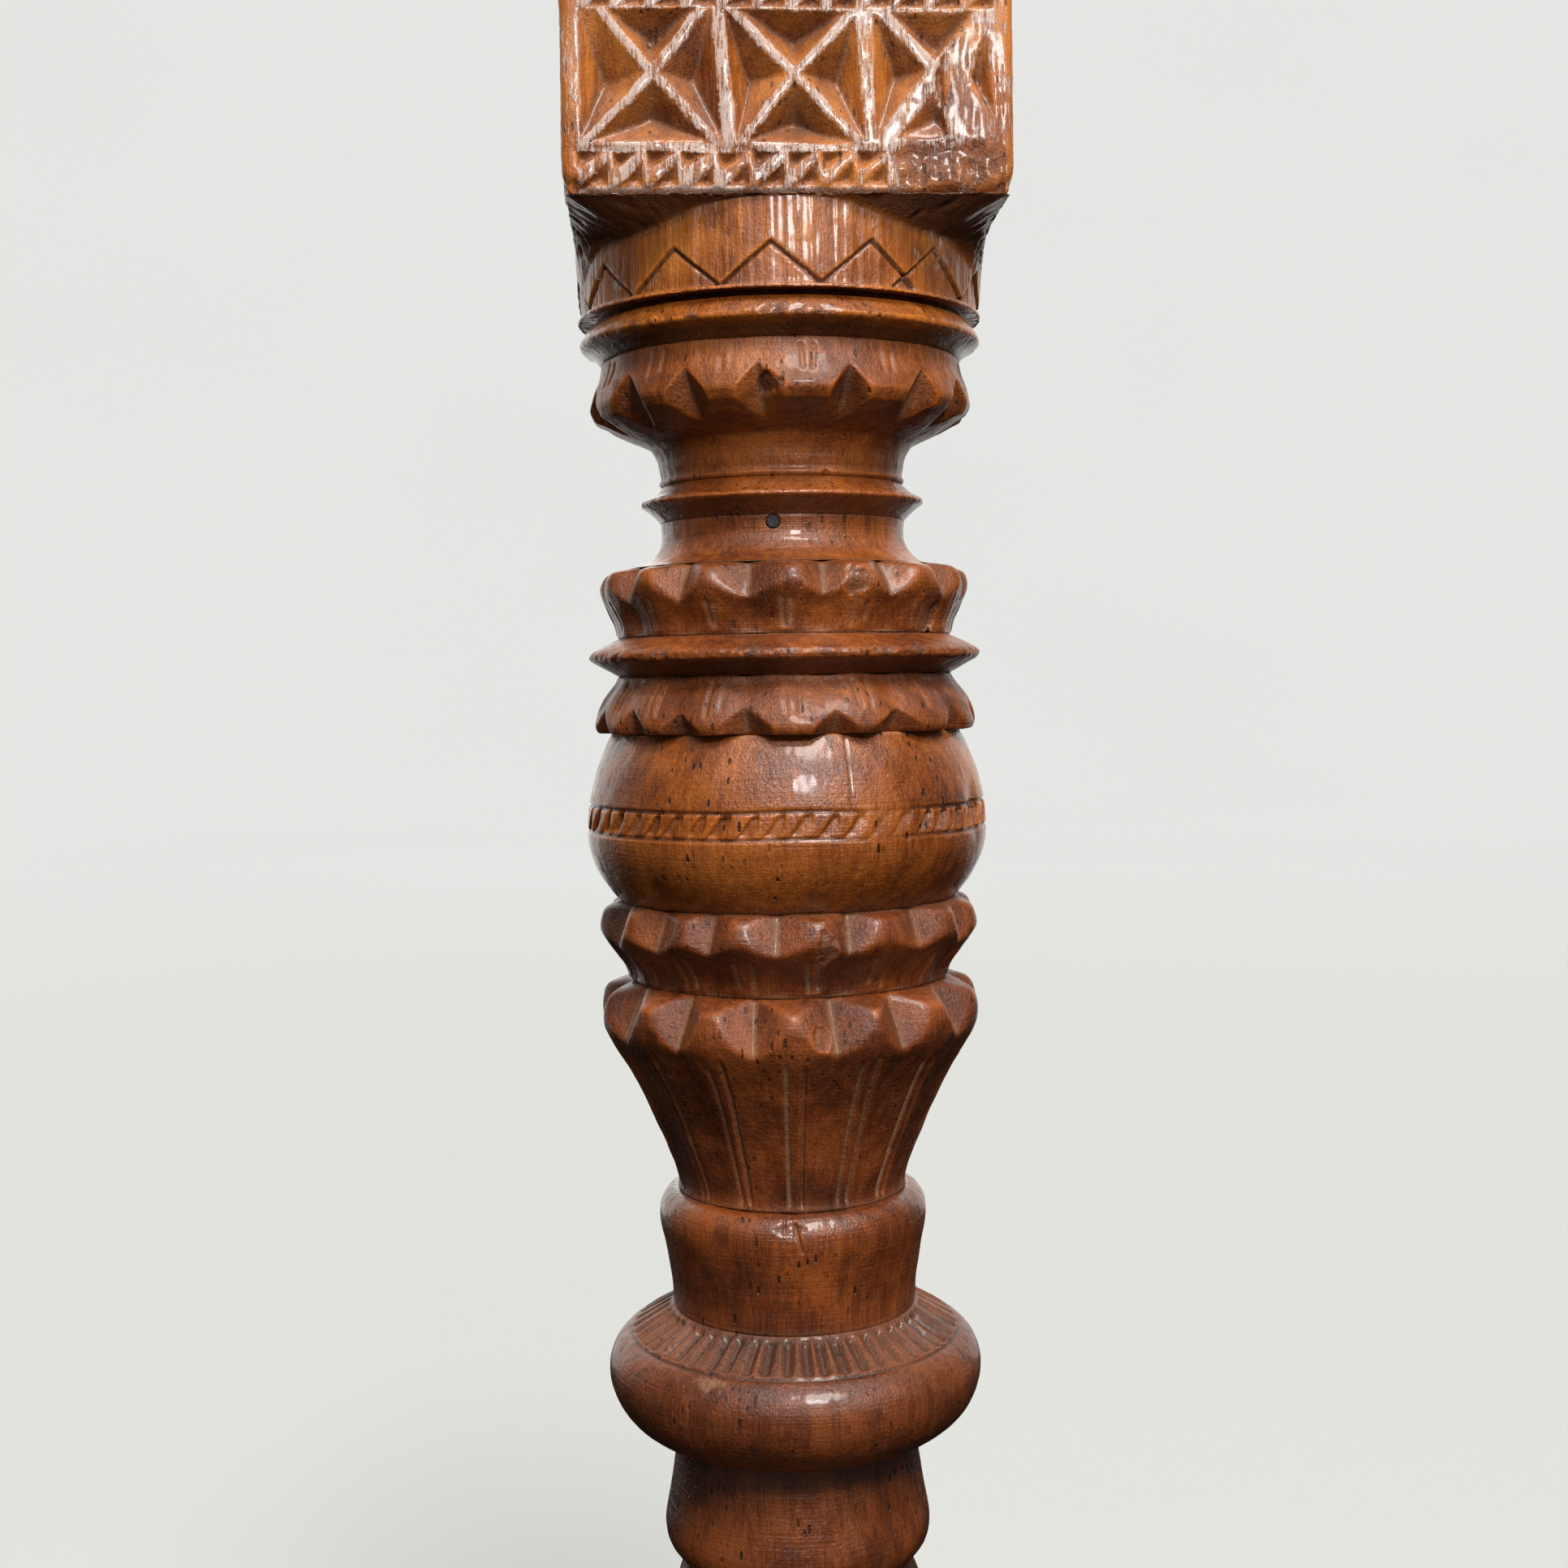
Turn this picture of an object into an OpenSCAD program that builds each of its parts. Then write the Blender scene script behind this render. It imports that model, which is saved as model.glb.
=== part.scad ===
// Turned and chip-carved wooden post: square blocks at both ends, and between
// them a stack of turned and notched members threaded on a row of core dowels.
// The origin is the centre of the bottom face. +Z is up, -Y is the front.

/* [Blocks] */
// Side of the square end blocks
block_w = 120; // [119:1:124]
// Height of each end block
block_h = 104; // [104:1:112]
// Rounding of the blocks' upright edges
block_edge_r = 3; // [1:0.5:4]
// Depth of the star chips
star_depth = 5.5; // [3:0.5:6]
// Width of the ridges left between the star chips
star_ridge = 2.4; // [1.5:0.1:3.5]
// Depth of the sawtooth chips
tooth_depth = 2.2; // [1:0.1:3]
// Radius of the dowel hole in each end
dowel_r = 6; // [4:0.5:8]
// Depth of the dowel hole in each end
dowel_depth = 40; // [30:1:44]

/* [Drum and bead] */
// Radius of the drum that carries the zigzag
drum_r = 58.7; // [57:0.1:59.2]
// Height of the drum
drum_h = 24; // [22:0.5:28]
// Zigzag triangles around the drum
zigzag_count = 14; // [10:1:18]
// Height of the zigzag triangles
zigzag_h = 11; // [8:0.5:12]
// Radius of the bead's sharp edge
bead_r = 58.5; // [57:0.1:60]
// Height of the bead
bead_h = 12; // [11:0.5:14]

/* [Neck] */
// Radius of the crown's rim
crown_r = 55.8; // [54:0.1:57]
// Height of the crown with the cove under it
crown_h = 35.5; // [34:0.5:38]
// Petals around the crown
crown_petals = 15; // [12:1:18]
// Radius of the waist between crown and neck ring
waist_r = 35.6; // [34:0.1:38]
// Radius of the neck ring's sharp edge
neck_ring_r = 41.6; // [40:0.1:44]
// Height of the neck ring
neck_ring_h = 10.6; // [10:0.2:12]
// Height of the cove under the neck ring
cove_h = 13.4; // [12:0.2:16]
// Radius of the scalloped ring under the cove
scallop_r = 54.5; // [53:0.1:56]
// Height of the scalloped ring under the cove
scallop_h = 20; // [18:0.5:22]

/* [Belly] */
// Radius of the flange's sharp edge
flange_r = 57.8; // [56:0.1:59]
// Height of the flange
flange_h = 11.2; // [10:0.1:14]
// Radius of the petal skirt's rim
skirt_r = 56.3; // [55:0.1:58]
// Height of the petal skirt
skirt_h = 16.3; // [15:0.1:19]
// Petals around the skirt and the scalloped rings
ring_petals = 16; // [13:1:18]
// Largest radius of the belly
belly_r = 59.1; // [57:0.1:61]
// Height of the belly
belly_h = 49.4; // [46:0.1:56]
// Slanted chips in the band around the belly
band_chips = 50; // [40:1:60]

/* [Lotus vase] */
// Radius of the vases' rim
vase_r = 56.7; // [55:0.1:58]
// Radius of the vases' foot
vase_foot_r = 34.3; // [32:0.1:36]
// Height of each vase
vase_h = 63.4; // [58:0.1:68]
// Petals around each vase
vase_petals = 15; // [12:1:18]
// Height of the scalloped ring at each vase's mouth
mouth_h = 23.7; // [19:0.1:26]

/* [Collars and torus] */
// Largest radius of the collars
collar_r = 40; // [38.5:0.1:42]
// Height of the upper collar
collar_h = 35; // [32:0.5:38]
// Height of the lower collar
lower_collar_h = 37.7; // [34:0.1:42]
// Largest radius of the torus
torus_r = 55.8; // [54:0.1:58]
// Height of the torus
torus_h = 37.3; // [34:0.1:44]
// Flutes around the top of the torus
torus_flutes = 52; // [40:1:56]

/* [Core and pegs] */
// Radius of the core dowels
core_r = 18; // [15:0.5:20]
// Clearance around the core dowels
core_gap = 0.1; // [0.05:0.01:0.2]
// Depth of the core dowels in each block
core_depth = 54; // [40:1:56]
// Radius of the pegs that lock the blocks
block_peg_r = 5; // [3:0.5:6]
// Radius of the small peg at the neck
neck_peg_r = 1.7; // [1.5:0.1:2.5]

/* [Hidden] */
$fn = 96;

// Heights of the joints between the members, from the ground up
z_drum = block_h;
z_bead = z_drum + drum_h;
z_mouth = z_bead + bead_h;
z_vase = z_mouth + mouth_h;
z_collar = z_vase + vase_h;
z_torus = z_collar + lower_collar_h;
z_upper_collar = z_torus + torus_h;
z_upper_vase = z_upper_collar + collar_h;
z_upper_mouth = z_upper_vase + vase_h;
z_belly = z_upper_mouth + mouth_h;
z_skirt = z_belly + belly_h;
z_flange = z_skirt + skirt_h;
z_scallop = z_flange + flange_h;
z_cove = z_scallop + scallop_h;
z_neck_ring = z_cove + cove_h;
z_crown = z_neck_ring + neck_ring_h;
z_upper_bead = z_crown + crown_h;
z_upper_drum = z_upper_bead + bead_h;
z_capital = z_upper_drum + drum_h;
total_h = z_capital + block_h;
z_base_peg = block_h - core_depth / 2;
z_capital_peg = total_h - z_base_peg;
// The core dowels meet end to end inside a member, never at a joint between two
core_ends = [block_h - core_depth, z_vase + 15, z_upper_collar - 9, z_upper_mouth + mouth_h / 2,
             z_neck_ring + neck_ring_h * 0.4, total_h - block_h + core_depth];

bore_r = core_r + core_gap;
// Shoulder radii where neighbouring members meet
neck_r = 47;          // cove and scalloped ring
hip_r = 49.1;         // flange and skirt
band_z = 0.503;       // middle of the carved band, as a part of the belly's height
band_w = 7.4;         // width of the carved band
margin = 5;           // plain border beside the carved panels
gap_z = 1.6;          // plain strips between the carved bands
tooth_h = 8.4;        // height of a sawtooth band
tooth_pitch = 8.8;    // spacing of the sawtooth chips
star_rows = 2;
star_columns = 3;
over = 8;             // how far cutters reach past the wood
skin = 1;             // how far chips start outside the face
neck_peg_x = -4.6;    // the neck peg sits a little left of centre
neck_peg_drop = 2;    // below the top of the cove
block_peg_l = block_w / 2 + core_r + 6;  // from the back face through the core

// Points along an elliptical arc about [cx, cz]
function arc(cx, cz, rx, rz, from, to, n = 8) =
    [for (i = [0 : n]) let (a = from + (to - from) * i / n) [cx + rx * cos(a), cz + rz * sin(a)]];

// A turned member: the outline runs up the outside, the bore up the inside
module turned(outline, h) {
    rotate_extrude() polygon(concat([[bore_r, 0]], outline, [[bore_r, h]]));
}

// A V-shaped cut whose valley runs from the lower point to the upper one, both
// given as [radius, height], opening outwards
module v_cut(lower, upper, half_angle) {
    run = upper - lower;
    length = norm(run);
    reach = over * 2;
    translate([lower[0], 0, lower[1]])
        rotate([0, atan2(run[0], run[1]), 0])
            translate([0, 0, -over])
                linear_extrude(length + 2 * over)
                    polygon([[0, 0], [reach, -reach * tan(half_angle)], [reach, reach * tan(half_angle)]]);
}

// The same cut repeated around the axis
module v_cuts(count, lower, upper, half_angle, turn = 0) {
    for (i = [0 : count - 1])
        rotate([0, 0, 360 / count * i + turn]) v_cut(lower, upper, half_angle);
}

// A ring-shaped V groove in a surface of radius r
module ring_groove(r, z, width, depth) {
    translate([0, 0, z])
        rotate_extrude()
            polygon([[r - depth, 0], [r + over, -width * (depth + over) / depth / 2],
                     [r + over, width * (depth + over) / depth / 2]]);
}

// A three-sided chip in the front face: tip and corners as [x, z] on the face,
// with the corners listed anticlockwise as seen from the front
module chip(corners, tip, depth) {
    grow = 1 + skin / depth;
    outer = [for (p = corners) tip + (p - tip) * grow];
    polyhedron([[outer[0][0], -skin, outer[0][1]], [outer[1][0], -skin, outer[1][1]],
                [outer[2][0], -skin, outer[2][1]], [tip[0], depth, tip[1]]],
               [[0, 2, 1], [0, 1, 3], [1, 2, 3], [2, 0, 3]]);
}

// Four chips around an X of ridges, in a cell w by h centred on the origin
module star(w, h) {
    r = star_ridge * 0.7;
    for (side = [-1, 1]) {
        x = side * (w / 2 - r / 2);
        z = side * (h / 2 - r / 2);
        chip([[side * r, 0], [x, side * (r - h / 2)], [x, side * (h / 2 - r)]],
             [side * w * 0.3, 0], star_depth);
        chip([[0, side * r], [side * (w / 2 - r), z], [side * (r - w / 2), z]],
             [0, side * h * 0.3], star_depth);
    }
}

// A row of slanted chips that leaves a sawtooth of flat wood
module teeth(length, h) {
    count = floor(length / tooth_pitch);
    step = length / count;
    for (i = [0 : count - 1])
        translate([-length / 2 + step * i, 0, 0])
            chip([[step * 0.08, h / 2], [step * 0.5, -h / 2], [step * 0.95, -h / 2]],
                 [step * 0.48, -h * 0.15], tooth_depth);
}

// The carving on one face of a block, for a block standing on z = 0
module face_carving() {
    panel_w = block_w - 2 * margin;
    cell_w = panel_w / star_columns;
    bands = star_rows + 1;
    cell_h = (block_h - bands * tooth_h - (2 * star_rows + 2) * gap_z) / star_rows;
    pitch = tooth_h + cell_h + 2 * gap_z;
    for (b = [0 : bands - 1])
        translate([0, 0, gap_z + tooth_h / 2 + b * pitch]) teeth(panel_w, tooth_h);
    for (row = [0 : star_rows - 1], column = [0 : star_columns - 1])
        translate([(column + 0.5) * cell_w - panel_w / 2, 0, tooth_h + 2 * gap_z + cell_h / 2 + row * pitch])
            star(cell_w, cell_h);
}

// A square prism with rounded upright edges
module prism(w, h, r) {
    for (size = [[w - 2 * r, w], [w, w - 2 * r]])
        translate([-size[0] / 2, -size[1] / 2, 0]) cube([size[0], size[1], h]);
    for (x = [-1, 1], y = [-1, 1])
        translate([x * (w / 2 - r), y * (w / 2 - r), 0]) cylinder(h = h, r = r);
}

// An end block standing on z = 0, with its dowel hole below and its core hole above
module end_block() {
    difference() {
        prism(block_w, block_h, block_edge_r);
        for (side = [0 : 3])
            rotate([0, 0, 90 * side]) translate([0, -block_w / 2, 0]) face_carving();
        translate([0, 0, -skin]) cylinder(h = dowel_depth + skin, r = dowel_r);
        translate([0, 0, block_h - core_depth]) cylinder(h = core_depth + skin, r = bore_r);
        translate([0, block_w / 2 + skin, block_h - core_depth / 2])
            rotate([90, 0, 0]) cylinder(h = block_peg_l + skin, r = block_peg_r);
    }
}

// A drum whose top end swells at its corners to carry a square block
module drum() {
    half_w = block_w / 2 - 1;
    corner_r = half_w * sqrt(2) - block_edge_r;
    corner_h = drum_h / 2;
    zig_depth = 1.4;
    zig_w = 2 * PI * drum_r / zigzag_count;
    difference() {
        union() {
            turned([[drum_r, 0], [drum_r, drum_h]], drum_h);
            intersection() {
                translate([0, 0, drum_h - corner_h]) prism(2 * half_w, corner_h, block_edge_r);
                translate([0, 0, drum_h - corner_h])
                    turned([[drum_r - 1, 0], [drum_r, 0], [corner_r, corner_h]], corner_h);
            }
        }
        for (i = [0 : zigzag_count - 1])
            rotate([0, 0, 360 / zigzag_count * (i + 0.5)])
                translate([0, -drum_r + zig_depth, 1.2])
                    rotate([90, 0, 0])
                        linear_extrude(over)
                            polygon([[-zig_w / 2 + 0.6, 0], [zig_w / 2 - 0.6, 0], [0, zigzag_h]]);
    }
}

module bead() {
    turned([[bead_r - 6, 0], [bead_r - 3.6, bead_h * 0.22], [bead_r - 0.5, bead_h * 0.36],
            [bead_r, bead_h * 0.44], [bead_r - 0.3, bead_h * 0.53], [bead_r - 2.9, bead_h * 0.83],
            [bead_r - 5, bead_h * 0.9], [bead_r - 5, bead_h]], bead_h);
}

// The crown's petals hang down; the cove below them runs in to the waist
module crown() {
    rim_z = crown_h * 0.62;
    difference() {
        turned(concat([[waist_r - 0.2, 0], [waist_r, crown_h * 0.08]],
                      arc(waist_r + 10, crown_h * 0.13, 9.6, 9.6, 175, 128, 4),
                      [[crown_r - 5.5, crown_h * 0.48], [crown_r - 1.3, crown_h * 0.54],
                       [crown_r, rim_z], [crown_r - 1, crown_h * 0.75],
                       [crown_r - 2.9, crown_h * 0.88], [crown_r - 3.4, crown_h]]), crown_h);
        v_cuts(crown_petals, [crown_r - 8.8, crown_h * 0.43], [crown_r - 0.8, crown_h * 0.73], 56, 8);
    }
}

module sharp_ring() {
    turned([[waist_r + 0.4, 0], [waist_r + 1.6, neck_ring_h * 0.12],
            [neck_ring_r - 1.5, neck_ring_h * 0.35], [neck_ring_r, neck_ring_h * 0.53],
            [neck_ring_r - 3.3, neck_ring_h * 0.75], [waist_r - 0.2, neck_ring_h]], neck_ring_h);
}

module cove() {
    hollow_h = cove_h * 0.74;
    difference() {
        turned(concat(arc(neck_r, hollow_h, neck_r - waist_r, hollow_h, 270, 180), [[waist_r + 0.4, cove_h]]),
               cove_h);
        neck_peg_hole();
    }
}

// The hole runs from the front into the wood, seen from the cove's own bottom
module neck_peg_hole() {
    translate([neck_peg_x, -core_r + 6, cove_h - neck_peg_drop])
        rotate([90, 0, 0]) cylinder(h = waist_r, r = neck_peg_r);
}

// Scallops point up, over a foot of radius foot_r; the seat on top is seat_r wide,
// and rim_z is the height of the widest point
module scallop_ring(rim_r, foot_r, seat_r, h, rim_z, cut_angle) {
    swell = rim_r - foot_r;
    difference() {
        turned([[foot_r, 0], [foot_r + swell * 0.13, rim_z * 0.25], [foot_r + swell * 0.45, rim_z * 0.48],
                [foot_r + swell * 0.8, rim_z * 0.69], [rim_r - 0.2, rim_z * 0.85], [rim_r, rim_z],
                [rim_r - 1.4, rim_z + (h - rim_z) * 0.6], [seat_r + 1, h]], h);
        v_cuts(ring_petals, [rim_r - 1.6, h * 0.5], [seat_r - 0.4, h], cut_angle, 11);
    }
}

module flange() {
    turned([[hip_r, 0], [flange_r - 3, flange_h * 0.32], [flange_r, flange_h * 0.53],
            [flange_r - 0.6, flange_h * 0.62], [hip_r + 2.5, flange_h * 0.9], [hip_r, flange_h]], flange_h);
}

// The skirt's petals hang down over the belly
module skirt() {
    difference() {
        turned([[skirt_r - 0.9, 0], [skirt_r, skirt_h * 0.09], [skirt_r, skirt_h * 0.17],
                [skirt_r - 1.2, skirt_h * 0.38], [skirt_r - 3.2, skirt_h * 0.61],
                [hip_r + 0.9, skirt_h * 0.83], [hip_r, skirt_h]], skirt_h);
        v_cuts(ring_petals, [skirt_r - 5.4, -0.4], [skirt_r - 2.6, skirt_h * 0.36], 62, 8);
    }
}

// The belly swells above and below its widest line, and carries a carved band
module belly_body() {
    wide_z = belly_h * 0.41;
    steps = 10;
    drop_below = 9.3;
    drop_above = 7.9;
    band_mid = belly_h * band_z;
    difference() {
        turned(concat([for (i = [0 : steps]) let (t = 1 - i / steps)
                          [belly_r - drop_below * t * t, wide_z * (1 - t)]],
                      [for (i = [1 : steps]) let (t = i / steps)
                          [belly_r - drop_above * t * t, wide_z + (belly_h - wide_z) * t]]), belly_h);
        for (side = [-1, 1])
            ring_groove(belly_r, band_mid + side * band_w / 2, 0.9, 0.8);
        for (i = [0 : band_chips - 1])
            rotate([0, 0, 360 / band_chips * i])
                translate([0, -belly_r, band_mid])
                    chip([[-2.6, -band_w * 0.42], [0.2, -band_w * 0.42], [2.6, band_w * 0.42]], [0, -1], 1.6);
    }
}

// Long petals rise from the foot to pointed tips at the rim
module vase() {
    difference() {
        turned([[vase_foot_r, 0], [vase_foot_r - 0.1, vase_h * 0.06], [vase_foot_r + 3, vase_h * 0.2],
                [vase_foot_r + 8, vase_h * 0.39], [vase_foot_r + 13.8, vase_h * 0.58],
                [vase_r - 1.8, vase_h * 0.76], [vase_r - 0.1, vase_h * 0.84], [vase_r, vase_h * 0.9],
                [vase_r - 1.2, vase_h * 0.95], [neck_r, vase_h]], vase_h);
        v_cuts(vase_petals, [vase_r - 3.2, vase_h * 0.79], [neck_r - 0.6, vase_h], 60, 12);
        // shallow grooves down the middle of the petals
        v_cuts(vase_petals, [vase_foot_r - 0.6, 0], [vase_r - 2.6, vase_h * 0.76], 40, 0);
    }
}

module collar(h) {
    turned([[collar_r - 3.4, 0], [collar_r - 3.3, h * 0.18], [collar_r - 2.5, h * 0.35],
            [collar_r - 1.5, h * 0.52], [collar_r - 0.3, h * 0.69],
            [collar_r, h * 0.8], [collar_r - 0.7, h * 0.9],
            [collar_r - 2.5, h * 0.97], [vase_foot_r + 0.3, h]], h);
}

// The torus has a sloping seat on top, cut with flutes that end at a ring line
module torus() {
    half_h = torus_h * 0.517;
    seat_r = collar_r - 3.4;
    line_r = torus_r - 6.4;
    line_z = torus_h * 0.807;
    difference() {
        turned(concat(arc(torus_r - 18.3, half_h, 18.3, half_h, -90, 34, 12),
                      [[line_r + 1, line_z + 0.1], [line_r, line_z - 0.2], [seat_r, torus_h]]), torus_h);
        for (i = [0 : torus_flutes - 1])
            rotate([0, 0, 360 / torus_flutes * i])
                intersection() {
                    v_cut([line_r - 0.6, line_z - 0.8], [seat_r, torus_h - 1.1], 55);
                    translate([seat_r + 0.6, -3, line_z - 3]) cube([line_r - seat_r - 1.4, 6, torus_h]);
                }
    }
}

module base_block() color("#7a3d1c") end_block();
module base_drum() color("#8a4a22") translate([0, 0, z_bead]) mirror([0, 0, 1]) drum();
module base_bead() color("#7d3f1e") translate([0, 0, z_mouth]) mirror([0, 0, 1]) bead();
module base_scallop_ring() {
    color("#8c4620") translate([0, 0, z_vase]) mirror([0, 0, 1])
        scallop_ring(vase_r - 0.4, neck_r - 0.3, hip_r + 0.5, mouth_h, mouth_h * 0.76, 66);
}
module lower_vase() color("#74381b") translate([0, 0, z_collar]) mirror([0, 0, 1]) vase();
module lower_collar() color("#80401e") translate([0, 0, z_torus]) mirror([0, 0, 1]) collar(lower_collar_h);
module torus_ring() color("#6d3319") translate([0, 0, z_torus]) torus();
module upper_collar() color("#84431f") translate([0, 0, z_upper_collar]) collar(collar_h);
module upper_vase() color("#763a1c") translate([0, 0, z_upper_vase]) vase();
module vase_scallop_ring() {
    color("#7e3f1e") translate([0, 0, z_upper_mouth])
        scallop_ring(vase_r - 0.4, neck_r - 0.3, hip_r + 0.5, mouth_h, mouth_h * 0.76, 66);
}
module belly() color("#8b4822") translate([0, 0, z_belly]) belly_body();
module petal_skirt() color("#91502a") translate([0, 0, z_skirt]) skirt();
module waist_flange() color("#87451f") translate([0, 0, z_flange]) flange();
module neck_scallop_ring() {
    color("#8f4d26") translate([0, 0, z_scallop])
        scallop_ring(scallop_r, hip_r - 0.2, neck_r - 0.6, scallop_h, scallop_h * 0.8, 64);
}
module neck_cove() color("#96542b") translate([0, 0, z_cove]) cove();
module neck_ring() color("#8a4822") translate([0, 0, z_neck_ring]) sharp_ring();
module petal_crown() color("#955329") translate([0, 0, z_crown]) crown();
module capital_bead() color("#84431f") translate([0, 0, z_upper_bead]) bead();
module capital_drum() color("#9a5a2c") translate([0, 0, z_upper_drum]) drum();
module capital_block() color("#8a4a22") translate([0, 0, total_h]) mirror([0, 0, 1]) end_block();

// One length of the core, drilled where a peg crosses it
module core_dowel(i) {
    color("#a5673a") difference() {
        translate([0, 0, core_ends[i]]) cylinder(h = core_ends[i + 1] - core_ends[i], r = core_r);
        for (z = [z_base_peg, z_capital_peg])
            translate([0, block_w / 2, z]) rotate([90, 0, 0]) cylinder(h = block_peg_l, r = block_peg_r);
        translate([0, 0, z_cove]) neck_peg_hole();
    }
}

// A peg driven in from the back face through block and core
module block_peg(z) {
    translate([0, block_w / 2, z]) rotate([90, 0, 0]) cylinder(h = block_peg_l, r = block_peg_r);
}

module base_peg() color("#5d3116") block_peg(z_base_peg);
module capital_peg() color("#5d3116") block_peg(z_capital_peg);
module neck_peg() {
    length = waist_r - core_r + 5;
    color("#2f2420") translate([neck_peg_x, -core_r + 5, z_cove + cove_h - neck_peg_drop])
        rotate([90, 0, 0]) cylinder(h = length, r = neck_peg_r);
}

base_block();
base_drum();
base_bead();
base_scallop_ring();
lower_vase();
lower_collar();
torus_ring();
upper_collar();
upper_vase();
vase_scallop_ring();
belly();
petal_skirt();
waist_flange();
neck_scallop_ring();
neck_cove();
neck_ring();
petal_crown();
capital_bead();
capital_drum();
capital_block();
core_dowel(0);  // core_dowel_1
core_dowel(1);  // core_dowel_2
core_dowel(2);  // core_dowel_3
core_dowel(3);  // core_dowel_4
core_dowel(4);  // core_dowel_5
base_peg();
capital_peg();
neck_peg();
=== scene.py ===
import math

import bpy
import numpy as np
from mathutils import Matrix, Vector, geometry


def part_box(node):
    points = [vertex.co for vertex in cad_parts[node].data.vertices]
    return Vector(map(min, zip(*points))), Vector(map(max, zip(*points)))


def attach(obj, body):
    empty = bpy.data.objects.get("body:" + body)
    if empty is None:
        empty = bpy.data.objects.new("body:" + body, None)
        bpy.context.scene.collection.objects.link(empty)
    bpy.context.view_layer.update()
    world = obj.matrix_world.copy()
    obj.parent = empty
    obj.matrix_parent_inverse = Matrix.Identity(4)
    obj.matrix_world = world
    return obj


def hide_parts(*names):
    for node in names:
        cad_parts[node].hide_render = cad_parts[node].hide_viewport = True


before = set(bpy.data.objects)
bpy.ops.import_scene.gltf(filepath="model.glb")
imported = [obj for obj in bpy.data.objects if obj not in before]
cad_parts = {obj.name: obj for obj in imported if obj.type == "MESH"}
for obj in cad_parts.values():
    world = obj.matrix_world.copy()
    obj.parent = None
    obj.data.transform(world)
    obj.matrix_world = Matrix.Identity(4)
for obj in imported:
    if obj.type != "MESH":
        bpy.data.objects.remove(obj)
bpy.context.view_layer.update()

# A turned and chip-carved wooden post: square blocks at both ends, and a stack of
# turned members between them. Shapes are worked out in millimetres, in each
# member's own frame (z from its own foot, angles from the front towards +X), and
# scaled to metres when their meshes are made.
MM = 0.001
BORE_R = 18.1                  # the bore for the core dowels
COLUMNS = 720                  # points round a turned member
EYE_TURN = math.radians(3.2)   # the photo is taken from a little left of the front

block_low, block_high = [[c / MM for c in corner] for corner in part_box("capital_block")]
BLOCK_W = block_high[0] - block_low[0]
BLOCK_H = block_high[2] - block_low[2]
MARGIN = 5.0                   # plain wood at each side of a block's face
GAP = 1.6                      # plain wood above and below a band of teeth
TOOTH_H = 8.4                  # height of a band of teeth
CELL_H = (BLOCK_H - 3 * TOOTH_H - 6 * GAP) / 2
BAND_PITCH = TOOTH_H + CELL_H + 2 * GAP
EDGE_R = 3.0                   # the blocks' worn upright edges
SEAM_PITCH = 1.3               # between the points that two faces of a block share
FINE, COARSE = 0.85, 1.15      # between the points of the front face and of the hidden faces
SOCKET_DEPTH = 54.0            # how deep the core goes into a block
DOWEL_HOLE_R, DOWEL_HOLE_DEPTH = 6.0, 40.0


def member_z(name):
    """A CAD node's lowest and highest point, in millimetres."""
    lo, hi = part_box(name)
    return lo[2] / MM, hi[2] / MM


def height_of(name):
    """A CAD node's height, in millimetres."""
    low, high = member_z(name)
    return high - low


# ---------------------------------------------------------------- small maths

def smoothstep(lo, hi, x):
    """A smooth ramp from 0 at lo to 1 at hi."""
    t = np.clip((x - lo) / (hi - lo), 0, 1)
    return t * t * (3 - 2 * t)


def front(degrees):
    """An angle from the front towards +X, in radians."""
    return math.radians(degrees)


def wrap(angle):
    """The same angle between minus and plus half a turn."""
    return (angle + math.pi) % (2 * math.pi) - math.pi


def lattice(ix, iy, iz, seed):
    """A repeatable number from 0 to 1 for each whole-number place."""
    n = (ix * 73856093) ^ (iy * 19349663) ^ (iz * 83492791) ^ (seed * 40503 + 977)
    n = ((n & 0x7FFFFFFF) * 1103515245 + 12345) & 0x7FFFFFFF
    n = ((n ^ (n >> 13)) * 69069 + 1) & 0x7FFFFFFF
    n = (n ^ (n >> 11)) & 0xFFFFFF
    return n / 0xFFFFFF


def noise3(x, y, z, seed):
    """Smooth noise from -1 to 1, one unit from hill to hill."""
    x, y, z = np.broadcast_arrays(x, y, z)
    floors = [np.floor(a) for a in (x, y, z)]
    u, v, w = [(a - f) ** 2 * (3 - 2 * (a - f)) for a, f in zip((x, y, z), floors)]
    ix, iy, iz = [f.astype(np.int64) for f in floors]
    total = 0.0
    for a in (0, 1):
        for b in (0, 1):
            for c in (0, 1):
                weight = (u if a else 1 - u) * (v if b else 1 - v) * (w if c else 1 - w)
                total = total + weight * lattice(ix + a, iy + b, iz + c, seed)
    return total * 2 - 1


def fbm(x, y, z, octaves, seed):
    """Noise with finer noise laid over it, each time half as strong."""
    total, share = 0.0, 1.0
    for k in range(octaves):
        total = total + share * noise3(x, y, z, seed + 31 * k)
        x, y, z, share = x * 2.03, y * 2.03, z * 2.03, share * 0.5
    return total


def arc(centre, radius, rise, degrees):
    """Points of an arc about a centre [r, z], with its own radius upwards."""
    return [[centre[0] + radius * math.cos(math.radians(a)), centre[1] + rise * math.sin(math.radians(a))]
            for a in degrees]


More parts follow.
